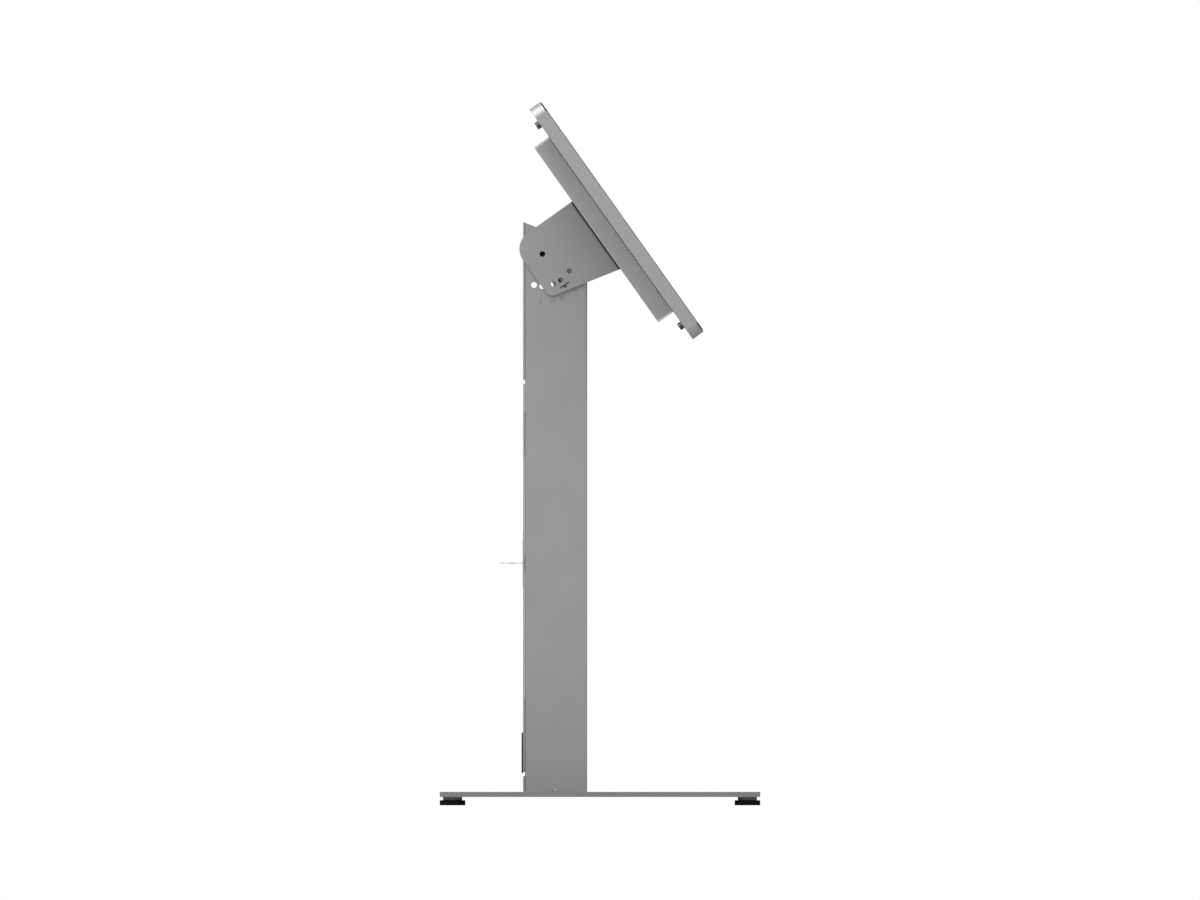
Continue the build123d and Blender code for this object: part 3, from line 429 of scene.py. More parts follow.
def turned(steps, sides, hole=False):
    """A turned part about Z, drawn up from a circle through steps of (radius, height).

    With a hole, the steps go round the section of a ring, which is then closed.
    """
    rest()
    radius, height = steps[0]
    bpy.ops.mesh.primitive_circle_add(vertices=sides, radius=radius, location=(0, 0, height),
                                      fill_type="NOTHING" if hole else "NGON")
    piece = new_start()
    edit_all(piece, "EDGE" if hole else "FACE")
    for next_radius, next_height in steps[1:]:
        bpy.ops.mesh.extrude_region_move(TRANSFORM_OT_translate={"value": (0, 0, next_height - height)})
        ratio = next_radius / radius
        bpy.ops.transform.resize(value=(ratio, ratio, 1), center_override=(0, 0, next_height))
        radius, height = next_radius, next_height
    if hole:
        bpy.ops.mesh.select_all(action="DESELECT")
        bpy.ops.mesh.select_non_manifold()
        bpy.ops.mesh.bridge_edge_loops()
    bpy.ops.mesh.select_all(action="SELECT")
    bpy.ops.mesh.normals_make_consistent(inside=False)
    bpy.ops.object.mode_set(mode="OBJECT")
    return piece


def eased_ring(bore, outer, bottom, top, ease, sides):
    """A turned ring with eased outer rims."""
    return turned([(bore, bottom), (outer - ease, bottom), (outer, bottom + ease),
                   (outer, top - ease), (outer - ease, top), (bore, top)], sides, hole=True)


def threaded(crest, root, start, end, pitch):
    """Steps of a rolled thread, drawn as closed rings with the real pitch and depth."""
    flank, crest_start, crest_end = 0.12 * pitch, 0.5 * pitch, 0.62 * pitch
    steps = []
    for turn in range(int((end - start) / pitch)):
        level = start + turn * pitch
        steps += [(root, level + flank), (crest, level + crest_start), (crest, level + crest_end)]
    return steps + [(root, end)]


def cut_out(piece, cutter):
    """Cuts one closed shape out of another."""
    add_modifier(piece, "BOOLEAN", object=cutter, operation="DIFFERENCE", solver="EXACT")
    bpy.data.objects.remove(cutter)
    return piece


def with_socket(piece, flats, bottom, top):
    """A six-sided socket from a bottom level up through the top, over the tip of its pilot drill."""
    radius = flats / 2 / math.cos(math.pi / 6)
    tip_radius, tip_depth = 0.8 * radius, 0.12 * flats
    steps = [(tip_radius, bottom - tip_depth), (radius, bottom), (radius, top + PAST)]
    return cut_out(piece, turned(steps, 6))


def add_block(low, high, edge, segments=2):
    """A block with rounded edges, as a start."""
    rest()
    bpy.ops.mesh.primitive_cube_add(size=1, location=(Vector(low) + Vector(high)) / 2,
                                    scale=Vector(high) - Vector(low))
    piece = new_start()
    edit_all(piece)
    bpy.ops.mesh.bevel(offset=edge, segments=segments, affect="EDGES")
    bpy.ops.object.mode_set(mode="OBJECT")
    return piece


def add_disc(radius, height, sides, base=0.0):
    """A round bar that stands on the seat, as a start."""
    rest()
    bpy.ops.mesh.primitive_cylinder_add(vertices=sides, radius=radius, depth=height,
                                        location=(0, 0, base + height / 2))
    return new_start()


def moved(piece, x, y, z):
    """A piece moved in its own mesh."""
    piece.data.transform(Matrix.Translation((x, y, z)))
    return piece


def joined(pieces):
    """One object from several."""
    rest()
    for piece in pieces:
        piece.select_set(True)
    bpy.context.view_layer.objects.active = pieces[0]
    bpy.ops.object.join()
    return pieces[0]


def finish_piece(piece, body, slot, replaced=(), angle=SOFT_ANGLE):
    """Smooths and paints a finished piece, attaches it to its body and hides the CAD nodes that it replaces."""
    make_active(piece)
    bpy.ops.object.shade_smooth_by_angle(angle=math.radians(angle))
    add_modifier(piece, "WEIGHTED_NORMAL", keep_sharp=True, weight=50)
    if not piece.data.materials:
        piece.data.materials.append(material_for(slot))
    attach(piece, body)
    if replaced:
        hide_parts(*replaced)
    return piece


def finish_copies(master, places, name, body, slot, replaced=()):
    """Puts a copy of a small part at each place, as one finished piece at the origin."""
    copies = []
    for place in places:
        copy = bpy.data.objects.new(name, master.data.copy())
        copy.data.transform(place)
        bpy.context.scene.collection.objects.link(copy)
        copies.append(copy)
    bpy.data.objects.remove(master)
    piece = joined(copies) if len(copies) > 1 else copies[0]
    piece.name = name
    return finish_piece(piece, body, slot, replaced)


def merged_copy(node):
    """A copy of a CAD node, with its triangles merged into whole faces."""
    flat_within = 0.5
    copy = bpy.data.objects.new(node + "_fine", NODES[node].data.copy())
    bpy.context.scene.collection.objects.link(copy)
    copy.data.materials.clear()
    make_active(copy)
    bpy.ops.mesh.customdata_custom_splitnormals_clear()
    edit_all(copy)
    bpy.ops.mesh.remove_doubles(threshold=SAME_POINT)
    bpy.ops.mesh.dissolve_limited(angle_limit=math.radians(flat_within))
    bpy.ops.object.mode_set(mode="OBJECT")
    return copy


def ease_edges(piece, radius, segments, leave=None, clamp=True):
    """Rounds the sharp edges, apart from those that pass the leave test, and takes out what is tiny."""
    sharp_from = 25
    edit_all(piece, "EDGE")
    bpy.ops.mesh.select_all(action="DESELECT")
    bpy.ops.mesh.edges_select_sharp(sharpness=math.radians(sharp_from))
    if leave:
        mesh = bmesh.from_edit_mesh(piece.data)
        for edge in mesh.edges:
            if edge.select and leave(edge.verts[0].co, edge.verts[1].co):
                edge.select = False
        bmesh.update_edit_mesh(piece.data)
    bpy.ops.mesh.bevel(offset=radius, segments=segments, affect="EDGES", clamp_overlap=clamp)
    bpy.ops.mesh.select_all(action="SELECT")
    bpy.ops.mesh.remove_doubles(threshold=TINY_EDGE)
    bpy.ops.mesh.dissolve_degenerate(threshold=TINY_EDGE)
    bpy.ops.object.mode_set(mode="OBJECT")


def eased_copy(node, radius, segments=2, leave=None):
    """A CAD node with eased edges, for parts whose shape is already right."""
    copy = merged_copy(node)
    ease_edges(copy, radius, segments, leave)
    return finish_piece(copy, BODY_OF[node], SLOT_OF[node], [node], angle=EASED_ANGLE)


# Sizes and colours that a user would change

class KIOSK_PG_stage(PropertyGroup):
    view_width: FloatProperty(name="View width", description="Width of the floor that the camera sees",
                              default=1.872, unit="LENGTH")
    view_height: FloatProperty(name="View height", description="Height of the camera over the floor",
                               default=0.5543, unit="LENGTH")
    ambient: FloatProperty(name="Ambient", description="Strength of the even light from all round",
                           default=0.47)
    key_power: FloatProperty(name="Key lamp", description="Power of the wide lamp overhead", default=90.0,
                             unit="POWER")
    floor_glow: FloatProperty(name="Floor glow", description="How much paler the camera sees the floor",
                              default=0.13)
    floor_colour: FloatVectorProperty(name="Floor", description="Colour of the pale floor", subtype="COLOR",
                                      size=4, default=linear(0xDEDEDE))


class KIOSK_PG_sheet(PropertyGroup):
    edge: FloatProperty(name="Edge radius", description="Easing of cut sheet edges", default=0.3 * MM,
                        unit="LENGTH")
    plate_edge: FloatProperty(name="Base plate edge", description="Easing of the edges of the base plate",
                              default=0.9 * MM, unit="LENGTH")
    glass_proud: FloatProperty(name="Glass proud", default=1.0 * MM, unit="LENGTH",
                               description="How far the glass stands in front of the frame")


class KIOSK_PG_thumbscrew(PropertyGroup):
    ridges: IntProperty(name="Ridges", description="Ridges around the head", default=24)
    ridge_depth: FloatProperty(name="Ridge depth", description="Depth of the grooves between the ridges",
                               default=0.35 * MM, unit="LENGTH")


class KIOSK_PG_feet(PropertyGroup):
    stud_pitch: FloatProperty(name="Stud pitch", description="Pitch of the thread of the levelling studs",
                              default=1.5 * MM, unit="LENGTH")


class KIOSK_PG_fasteners(PropertyGroup):
    easing: FloatProperty(name="Head easing", description="Chamfer round the heads of the bolts and screws",
                          default=0.5 * MM, unit="LENGTH")


class KIOSK_PG_plungers(PropertyGroup):
    wire: FloatProperty(name="Spring wire", description="Thickness of the wire of the return springs",
                        default=0.9 * MM, unit="LENGTH")
    turns: IntProperty(name="Spring turns", description="Turns of each return spring", default=8)


class KIOSK_PG_service(PropertyGroup):
    easing: FloatProperty(name="Easing", description="Easing of the edges of the fittings", default=0.3 * MM,
                          unit="LENGTH")
    leaf_screw: FloatProperty(name="Leaf screw", description="Width of the screws of the hinge leaves",
                              default=5.0 * MM, unit="LENGTH")


class KIOSK_PG_scale(PropertyGroup):
    radius: FloatProperty(name="Radius", description="Distance of the numbers from the pivot",
                          default=75.5 * MM, unit="LENGTH")
    height: FloatProperty(name="Height", description="Height of the numbers", default=7.0 * MM, unit="LENGTH")
    line: FloatProperty(name="Line", description="Width of the upright line", default=0.7 * MM, unit="LENGTH")


class KIOSK_PG_screen(PropertyGroup):
    width: FloatProperty(name="Display width", description="Width of the picture area", default=698 * MM,
                         unit="LENGTH")
    height: FloatProperty(name="Display height", description="Height of the picture area", default=393 * MM,
                          unit="LENGTH")
    glass_edge: FloatProperty(name="Glass edge", description="Easing of the edges of the glass",
                              default=0.3 * MM, unit="LENGTH")


# Operators

class KIOSK_OT_stage(Operator):
    """Camera, lamps, white surroundings and a pale floor"""
    bl_idname = "kiosk.stage"
    bl_label = "Stage"

    camera_distance = 5
    far_clip = 100
    floor_size = 80
    # Each lamp's place, the spot that it points at, its width and its share of the key lamp's power.
    lamps = {
        "key_lamp": ((-1.9, 1.2, 3.2), (0, 0.1, 0.6), 3.0, 1.0),
        "front_lamp": ((-1.6, -3.0, 1.8), (0, 0.0, 0.6), 2.0, 0.08),
    }

    def execute(self, context):
        settings = context.scene.kiosk_stage
        self.add_camera(context.scene, settings)
        self.add_world(context.scene, settings)
        self.add_lamps(settings)
        self.add_floor(settings)
        return {"FINISHED"}

    def add_camera(self, scene, settings):
        rest()
        bpy.ops.object.camera_add(location=(-self.camera_distance, 0, settings.view_height),
                                  rotation=(math.pi / 2, 0, -math.pi / 2))
        camera = bpy.context.object
        camera.data.type = "ORTHO"
        camera.data.ortho_scale = settings.view_width
        camera.data.clip_end = self.far_clip
        scene.camera = camera
        scene.view_settings.view_transform = "Standard"

    def add_world(self, scene, settings):
        world = bpy.data.worlds.new("white_surroundings")
        world.use_nodes = True
        tree = world.node_tree
        tree.nodes.clear()
        rays = add_node(tree, "ShaderNodeLightPath").outputs
        seen = rays["Is Camera Ray"]
        for kind in ("Is Glossy Ray", "Is Transmission Ray"):
            seen = add_node(tree, "ShaderNodeMath", {0: seen, 1: rays[kind]}, operation="MAXIMUM").outputs[0]
        values = {"Value": seen, "To Min": settings.ambient, "To Max": 1.0}
        strength = add_node(tree, "ShaderNodeMapRange", values).outputs["Result"]
        background = add_node(tree, "ShaderNodeBackground", {"Color": (1, 1, 1, 1), "Strength": strength})
        add_node(tree, "ShaderNodeOutputWorld", {"Surface": background.outputs["Background"]})
        scene.world = world

    def add_lamps(self, settings):
        for name, (place, target, width, share) in self.lamps.items():
            rest()
            turn = (Vector(target) - Vector(place)).to_track_quat("-Z", "Y").to_euler()
            bpy.ops.object.light_add(type="AREA", location=place, rotation=turn)
            lamp = bpy.context.object
            lamp.name = name
            lamp.data.size = width
            lamp.data.energy = settings.key_power * share

    def add_floor(self, settings):
        rest()
        bpy.ops.mesh.primitive_plane_add(size=self.floor_size, location=(0, 0, 0))
        floor = bpy.context.object
        floor.name = "floor"
        material, tree, shader = new_material("painted_studio_floor", Roughness=0.8)
        colour = list(settings.floor_colour)
        cloudy = [0.98 * c for c in colour[:3]] + [1.0]
        vary(tree, shader, grain(tree, 900.0), (colour, cloudy))
        seen = add_node(tree, "ShaderNodeLightPath").outputs["Is Camera Ray"]
        glow = add_node(tree, "ShaderNodeMath", {0: seen, 1: settings.floor_glow}, operation="MULTIPLY")
        tree.links.new(glow.outputs[0], shader.inputs["Emission Strength"])
        floor.data.materials.append(material)


class KIOSK_OT_finishes(Operator):
    """Gives every CAD piece the finish of its material slot"""
    bl_idname = "kiosk.finishes"
    bl_label = "Finishes"

    def execute(self, context):
        for name, node in NODES.items():
            node.data.materials.clear()
            node.data.materials.append(material_for(SLOT_OF[name]))
        return {"FINISHED"}


class KIOSK_OT_sheets(Operator):
    """Sheet-metal pieces with eased edges, kept sharp where one lies on another"""
    bl_idname = "kiosk.sheets"
    bl_label = "Sheet metal"

    def execute(self, context):
        settings = context.scene.kiosk_sheet
        eased_copy("base_plate", settings.plate_edge, 3)
        for node in ("column", "column_foot", "head_bracket", "lock_plate", "top_cap"):
            eased_copy(node, settings.edge)
        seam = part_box("rear_cover_upper")[1].y - settings.edge * 3
        for node in ("rear_cover_upper", "rear_cover_lower", "rear_door"):
            eased_copy(node, settings.edge, leave=lambda a, b: min(a.y, b.y) < seam)
        front = head_axes().col[2]
        joint = furthest("rear_box", head_axes()) - settings.edge
        for node in ("rear_box", "box_end_top", "box_end_bottom"):
            eased_copy(node, settings.edge, leave=lambda a, b: min(front.dot(a), front.dot(b)) > joint)
        self.frame(settings)
        return {"FINISHED"}

    def frame(self, settings):
        """The screen frame, whose lips stand a little behind the face of the glass."""
        front = head_axes().col[2]
        level = furthest("screen_frame", head_axes())
        frame_piece = merged_copy("screen_frame")
        select_faces(frame_piece, lambda spot, normal: front.dot(spot) > level - SAME_LEVEL
                     and normal.dot(front) > SAME_WAY)
        bpy.ops.transform.translate(value=front * -settings.glass_proud)
        ease_edges(frame_piece, settings.edge, 2, clamp=False)
        finish_piece(frame_piece, "head", SLOT_OF["screen_frame"], ["screen_frame"], angle=EASED_ANGLE)


class KIOSK_OT_thumbscrews(Operator):
    """Knurled black thumbscrews on the back of the screen frame"""
    bl_idname = "kiosk.thumbscrews"
    bl_label = "Thumbscrews"

    ridge_rim = 0.02 * MM
    face_rim = 0.6 * MM
    face_depth = 0.5 * MM
    ridge_easing = 0.12 * MM
    shank_radius = 2.4 * MM

    def execute(self, context):
        settings = context.scene.kiosk_thumbscrew
        turn = back_axes()
        boxes = solids("thumbscrews", turn)
        low, high = boxes[0]
        radius = (high.x - low.x) / 2
        top = high.z - low.z
        head = high.z - furthest("screen_frame", turn)
        sides = settings.ridges * 2
        step = 2 * math.pi / sides
        knob = add_disc(radius, head, sides, top - head)

        def in_groove(middle, normal):
            around = math.atan2(middle.y, middle.x) % (2 * step)
            return abs(normal.z) < 0.5 and around < step

        select_faces(knob, in_groove)
        bpy.ops.mesh.inset(thickness=self.ridge_rim, depth=-settings.ridge_depth, use_individual=True)
        select_faces(knob, lambda middle, normal: normal.z > 0.9 and middle.z > top - SAME_LEVEL)
        bpy.ops.mesh.inset(thickness=self.face_rim, depth=0.0)
        bpy.ops.mesh.inset(thickness=radius * 0.45, depth=-self.face_depth)
        add_modifier(knob, "BEVEL", width=self.ridge_easing, segments=2, limit_method="ANGLE",
                     angle_limit=math.radians(50))
        master = joined([knob, add_disc(self.shank_radius, top - head, 24)])
        master.data.materials.append(tumbled_plastic())
        places = [seat(turn, *box) for box in boxes]
        finish_copies(master, places, "thumbscrew_set", "head", "black_plastic", ["thumbscrews"])
        return {"FINISHED"}


class KIOSK_OT_feet(Operator):
    """Levelling feet: moulded pads, threaded studs and their collars"""
    bl_idname = "kiosk.feet"
    bl_label = "Feet"

    pad_sides = 8
    rim = 0.6 * MM
    sole_width = 3.2 * MM
    sole_depth = 1.2 * MM
    groove = 0.25 * MM
    stud_easing = 0.05 * MM
    stud_socket = 5 * MM
    socket_depth = 4 * MM
    collar_bore = 5.25 * MM
    collar_easing = 0.5 * MM

    def execute(self, context):
        settings = context.scene.kiosk_feet
        places = []
        for corner in ("front_left", "front_right", "rear_left", "rear_right"):
            low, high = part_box("foot_pad_" + corner)
            place = Matrix.Translation(((low.x + high.x) / 2, (low.y + high.y) / 2, 0))
            places.append(place)
            pad = self.make_pad(high.x - low.x, high.z - low.z)
            finish_copies(pad, [place], "moulded_pad_" + corner, "foot_" + corner, "black_rubber",
                          ["foot_pad_" + corner])
            low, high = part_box("foot_stud_" + corner)
            stud = self.make_stud((high.x - low.x) / 2, low.z, high.z, settings.stud_pitch)
            finish_copies(stud, [place], "threaded_stud_" + corner, "foot_" + corner, "plated_steel",
                          ["foot_stud_" + corner])
        low, high = solids("foot_collars")[0]
        collar = self.make_collar((high.x - low.x) / 2, low.z, high.z)
        collar.data.materials.append(phosphated())
        finish_copies(collar, places, "pressed_collars", "stand", "plated_steel", ["foot_collars"])
        return {"FINISHED"}

    def make_pad(self, width, height):
        """An eight-sided pad with a grip groove, eased rims, a hub on top and a hollow sole."""
        radius = width / 2 / math.cos(math.pi / self.pad_sides)
        inner = radius - self.sole_width
        sole = [(inner - self.sole_depth, self.sole_depth), (inner, 0.35 * MM), (inner + 1 * MM, 0.0)]
        side = [(radius - self.rim, 0.0), (radius, self.rim), (radius, height * 0.42),
                (radius - self.groove, height * 0.47), (radius, height * 0.52),
                (radius, height - self.rim), (radius - self.rim, height)]
        hub_groove = height - 0.4 * MM
        hub = [(radius * 0.62, height), (radius * 0.6, hub_groove), (radius * 0.5, hub_groove),
               (radius * 0.48, height)]
        pad = turned(sole + side + hub, self.pad_sides)
        edit_all(pad)
        bpy.ops.transform.rotate(value=math.pi / self.pad_sides, orient_axis="Z", center_override=(0, 0, 0))
        bpy.ops.object.mode_set(mode="OBJECT")
        return pad

    def make_stud(self, radius, bottom, top, pitch):
        """A stud with a rolled thread, a chamfered end and a socket to turn it from above."""
        root = radius - 0.55 * pitch
        crest = radius - self.stud_easing
        steps = [(root, bottom)] + threaded(crest, root, bottom, top - 1.4 * MM, pitch)
        steps += [(crest, top - 1.1 * MM), (root, top)]
        return with_socket(turned(steps, 24), self.stud_socket, top - self.socket_depth, top)

    def make_collar(self, radius, bottom, top):
        """A flanged collar with eased lower rims."""
        bore, ease = self.collar_bore, self.collar_easing
        steps = [(bore + ease, bottom), (radius - ease, bottom), (radius, bottom + ease),
                 (radius, top), (bore, top), (bore, bottom + ease)]
        return turned(steps, 48, hole=True)


class KIOSK_OT_fasteners(Operator):
    """Bolts, screws and washers of the base, the pivot and the bracket"""
    bl_idname = "kiosk.fasteners"
    bl_label = "Fasteners"

    # Base bolts
    bolt_crest = 3.95 * MM
    bolt_thread = 0.6 * MM
    bolt_head = 4.0 * MM
    bolt_socket = 5 * MM
    bolt_socket_depth = 2.4 * MM
    coarse_pitch = 1.25 * MM
    # Pivot
    pivot_thread = 0.7 * MM
    pivot_socket = 5 * MM
    pivot_socket_depth = 3.5 * MM
    pivot_play = 0.3 * MM
    # Mounting screws
    mount_crest = 1.95 * MM
    mount_thread = 0.35 * MM
    mount_pitch = 0.7 * MM
    mount_head = 2.6 * MM
    mount_socket = 2.5 * MM
    mount_socket_depth = 1.5 * MM

    def execute(self, context):
        self.base_bolts(context.scene.kiosk_fasteners.easing)
        self.pivot()
        self.mounting_screws()
        return {"FINISHED"}

    def base_bolts(self, easing):
        """Low cap screws that point up, so they are modelled with Z out of their heads."""
        down = axes(Vector((1, 0, 0)), Vector((0, -1, 0)), Vector((0, 0, -1)))
        boxes = solids("base_bolts", down)
        low, high = boxes[0]
        length = high.z - low.z
        radius = (high.x - low.x) / 2
        head = length - self.bolt_head
        root = self.bolt_crest - self.bolt_thread
        steps = [(root, 0.0)]
        steps += threaded(self.bolt_crest, root, 0.2 * MM, head - 0.6 * MM, self.coarse_pitch)
        steps += [(root, head), (radius, head), (radius, length - easing), (radius - easing, length)]
        bolt = with_socket(turned(steps, 36), self.bolt_socket, length - self.bolt_socket_depth, length)
        places = [seat(down, *box) for box in boxes]
        finish_copies(bolt, places, "low_cap_screws", "stand", "plated_steel", ["base_bolts"])

    def pivot(self):
        """Black socket screws flush with the cheeks, their spacer tube and the friction washers."""
        pivot = pivot_point()
        left, right = solids("pivot_screws")
        length = left[1].x - left[0].x
        radius = (left[1].y - left[0].y) / 2
        root = radius - self.pivot_thread
        ease = 0.2 * MM
        steps = [(root, 0.0)]
        steps += threaded(radius - 0.1 * MM, root, 0.3 * MM, length * 0.5, self.coarse_pitch)
        steps += [(radius, length * 0.5 + 0.5 * MM), (radius, length - ease), (radius - ease, length)]
        screw = with_socket(turned(steps, 48), self.pivot_socket, length - self.pivot_socket_depth, length)
        places = [side_place(side, right[0].x, pivot.y, pivot.z) for side in SIDES]
        finish_copies(screw, places, "socket_screws", "stand", "black_steel", ["pivot_screws"])
        left_place, right_place = [side_place(side, 0, pivot.y, pivot.z) for side in SIDES]
        bore = radius + self.pivot_play
        (low, high), = solids("pivot_tube")
        tube = eased_ring(bore, (high.y - low.y) / 2, low.x, high.x, 0.4 * MM, 48)
        finish_copies(tube, [right_place], "spacer_tube", "stand", "plated_steel", ["pivot_tube"])
        low, high = solids("friction_washers")[1]
        ring = eased_ring(bore, (high.y - low.y) / 2, low.x, high.x, ease, 64)
        finish_copies(ring, [left_place, right_place], "friction_discs", "stand", "black_plastic",
                      ["friction_washers"])

    def mounting_screws(self):
        """Domed screws from the bracket into the box, with Z out of their heads."""
        turn = back_axes()
        boxes = solids("vesa_screws", turn)
        low, high = boxes[0]
        length = high.z - low.z
        radius = (high.x - low.x) / 2
        head = length - self.mount_head
        crest = self.mount_crest
        root = crest - self.mount_thread
        steps = [(root, 0.0)] + threaded(crest, root, 0.1 * MM, head - 0.3 * MM, self.mount_pitch)
        steps += [(crest, head), (radius - 0.2 * MM, head), (radius, head + 0.3 * MM)]
        steps += [(radius * 0.96, head + 1.2 * MM), (radius * 0.82, head + 2.0 * MM),
                  (radius * 0.6, head + 2.45 * MM), (radius * 0.45, length)]
        screw = with_socket(turned(steps, 24), self.mount_socket, length - self.mount_socket_depth, length)
        places = [seat(turn, *box) for box in boxes]
        finish_copies(screw, places, "domed_mounting_screws", "head", "plated_steel", ["vesa_screws"])


class KIOSK_OT_plungers(Operator):
    """Spring-loaded index pins inside the column"""
    bl_idname = "kiosk.plungers"
    bl_label = "Index plungers"

    barrel_easing = 0.4 * MM
    pin_easing = 0.5 * MM

    def execute(self, context):
        settings = context.scene.kiosk_plungers
        eased_copy("plunger_barrels", self.barrel_easing)
        for side in ("left", "right"):
            eased_copy("plunger_pin_" + side, self.pin_easing)
        low, high = solids("plunger_springs")[1]
        centre = (low + high) / 2
        radius = (high.y - low.y) / 2 - settings.wire / 2
        length = high.x - low.x - settings.wire
        spring = self.make_spring(radius, length, settings.wire, settings.turns)
        places = [side_place(side, low.x + settings.wire / 2, centre.y, centre.z) for side in SIDES]
        finish_copies(spring, places, "coil_springs", "stand", "plated_steel", ["plunger_springs"])
        return {"FINISHED"}

    def make_spring(self, radius, length, wire, turns):
        """Round wire swept up a helix and closed at both ends."""
        rest()
        bpy.ops.mesh.primitive_circle_add(vertices=8, radius=wire / 2, location=(radius, 0, 0),
                                          rotation=(math.pi / 2, 0, 0))
        spring = new_start()
        add_modifier(spring, "SCREW", angle=2 * math.pi, screw_offset=length / turns, iterations=turns,
                     steps=20, render_steps=20, axis="Z")
        edit_all(spring)
        bpy.ops.mesh.fill_holes(sides=0)
        bpy.ops.mesh.select_all(action="SELECT")
        bpy.ops.mesh.normals_make_consistent(inside=False)
        bpy.ops.object.mode_set(mode="OBJECT")
        return spring


class KIOSK_OT_service(Operator):
    """Door furniture, lock, key and the fittings inside the column"""
    bl_idname = "kiosk.service"
    bl_label = "Door and fittings"

    # Hinges
    pin_shank = 1.45 * MM
    pin_head = 1.2 * MM
    leaf_thickness = 1.5 * MM
    leaf_screw_socket = 2.0 * MM
    # Power adapter
    case_easing = 3.0 * MM
    seam_half = 0.35 * MM
    seam_depth = 0.5 * MM
    contact_easing = 0.3 * MM
    outlet_x = 18 * MM

    def execute(self, context):
        settings = context.scene.kiosk_service
        for node in ("hinge_leaves", "cable_outlet", "lock_housing", "lock_nut", "lock_cam", "cam_screw",
                     "key", "adapter_holder", "cable_clips", "top_trim"):
            eased_copy(node, settings.easing)
        eased_copy("lock_core", settings.easing / 2)
        self.hinge_pins()
        self.hinge_screws(settings.leaf_screw / 2)
        self.adapter()
        return {"FINISHED"}

    def hinge_pins(self):
        """Headed pins through the knuckles."""
        boxes = solids("hinge_pins")
        low, high = boxes[0]
        length = high.z - low.z
        radius = (high.x - low.x) / 2
        shank, head = self.pin_shank, length - self.pin_head
        steps = [(shank - 0.3 * MM, 0.0), (shank, 0.3 * MM), (shank, head),
                 (radius, head), (radius, length - 0.6 * MM), (radius * 0.7, length)]
        places = [seat(Matrix.Identity(3), *box) for box in boxes]
        finish_copies(turned(steps, 24), places, "headed_pins", "stand", "plated_steel", ["hinge_pins"])

    def hinge_screws(self, radius):
        """Domed screws that hold the hinge leaves on the side of the column."""
        top = 0.95 * MM
        steps = [(radius, 0.0), (radius, 0.25 * MM), (radius * 0.85, 0.7 * MM), (radius * 0.5, top)]
        screw = with_socket(turned(steps, 24), self.leaf_screw_socket, 0.35 * MM, top)
        places = []
        for low, high in solids("hinge_leaves"):
            size = high - low
            for share in (0.15, 0.5, 0.85):
                places.append(side_place(1, low.x + self.leaf_thickness, low.y + size.y * 0.38,
                                         low.z + size.z * share))
        finish_copies(screw, places, "leaf_screws", "stand", "plated_steel")

    def adapter(self):
        """The power adapter: two moulded halves with a seam, an inlet and an outlet on top."""
        (low, high), = solids("power_adapter")
        middle = (low + high) / 2
        case = add_block(low, high, self.case_easing, 3)
        for level in (-self.seam_half, self.seam_half):
            edit_all(case)
            bpy.ops.mesh.bisect(plane_co=middle + Vector((0, level, 0)), plane_no=(0, 1, 0))
        select_faces(case, lambda spot, normal: abs(spot.y - middle.y) < 0.3 * MM and abs(normal.y) < 0.5)
        bpy.ops.mesh.inset(thickness=0.05 * MM, depth=-self.seam_depth)
        bpy.ops.object.mode_set(mode="OBJECT")
        inlet = add_block((-25 * MM, middle.y - 8 * MM, high.z - 14 * MM),
                          (-1 * MM, middle.y + 8 * MM, high.z + 2 * MM), 1.5 * MM)
        outlet = turned([(4 * MM, 0.0), (4 * MM, 12 * MM)], 32)
        outlet = moved(outlet, self.outlet_x, middle.y, high.z - 10 * MM)
        case = cut_out(cut_out(case, inlet), outlet)
        case.name = "adapter_case"
        finish_piece(case, "stand", "adapter_plastic", ["power_adapter"])
        contacts = []
        for x, y in ((-19, 2), (-13, -2.5), (-7, 2)):
            spot = Vector((x * MM, middle.y + y * MM, high.z - 14.5 * MM))
            contacts.append(add_block(spot - Vector((1.2, 2.0, 0)) * MM, spot + Vector((1.2, 2.0, 11)) * MM,
                                      self.contact_easing))
        pin = turned([(1.2 * MM, 0.0), (1.2 * MM, 8 * MM), (0.8 * MM, 8.6 * MM)], 20)
        contacts.append(moved(pin, self.outlet_x, middle.y, high.z - 10.5 * MM))
        piece = joined(contacts)
        piece.name = "adapter_contacts"
        finish_piece(piece, "stand", "lock_metal")


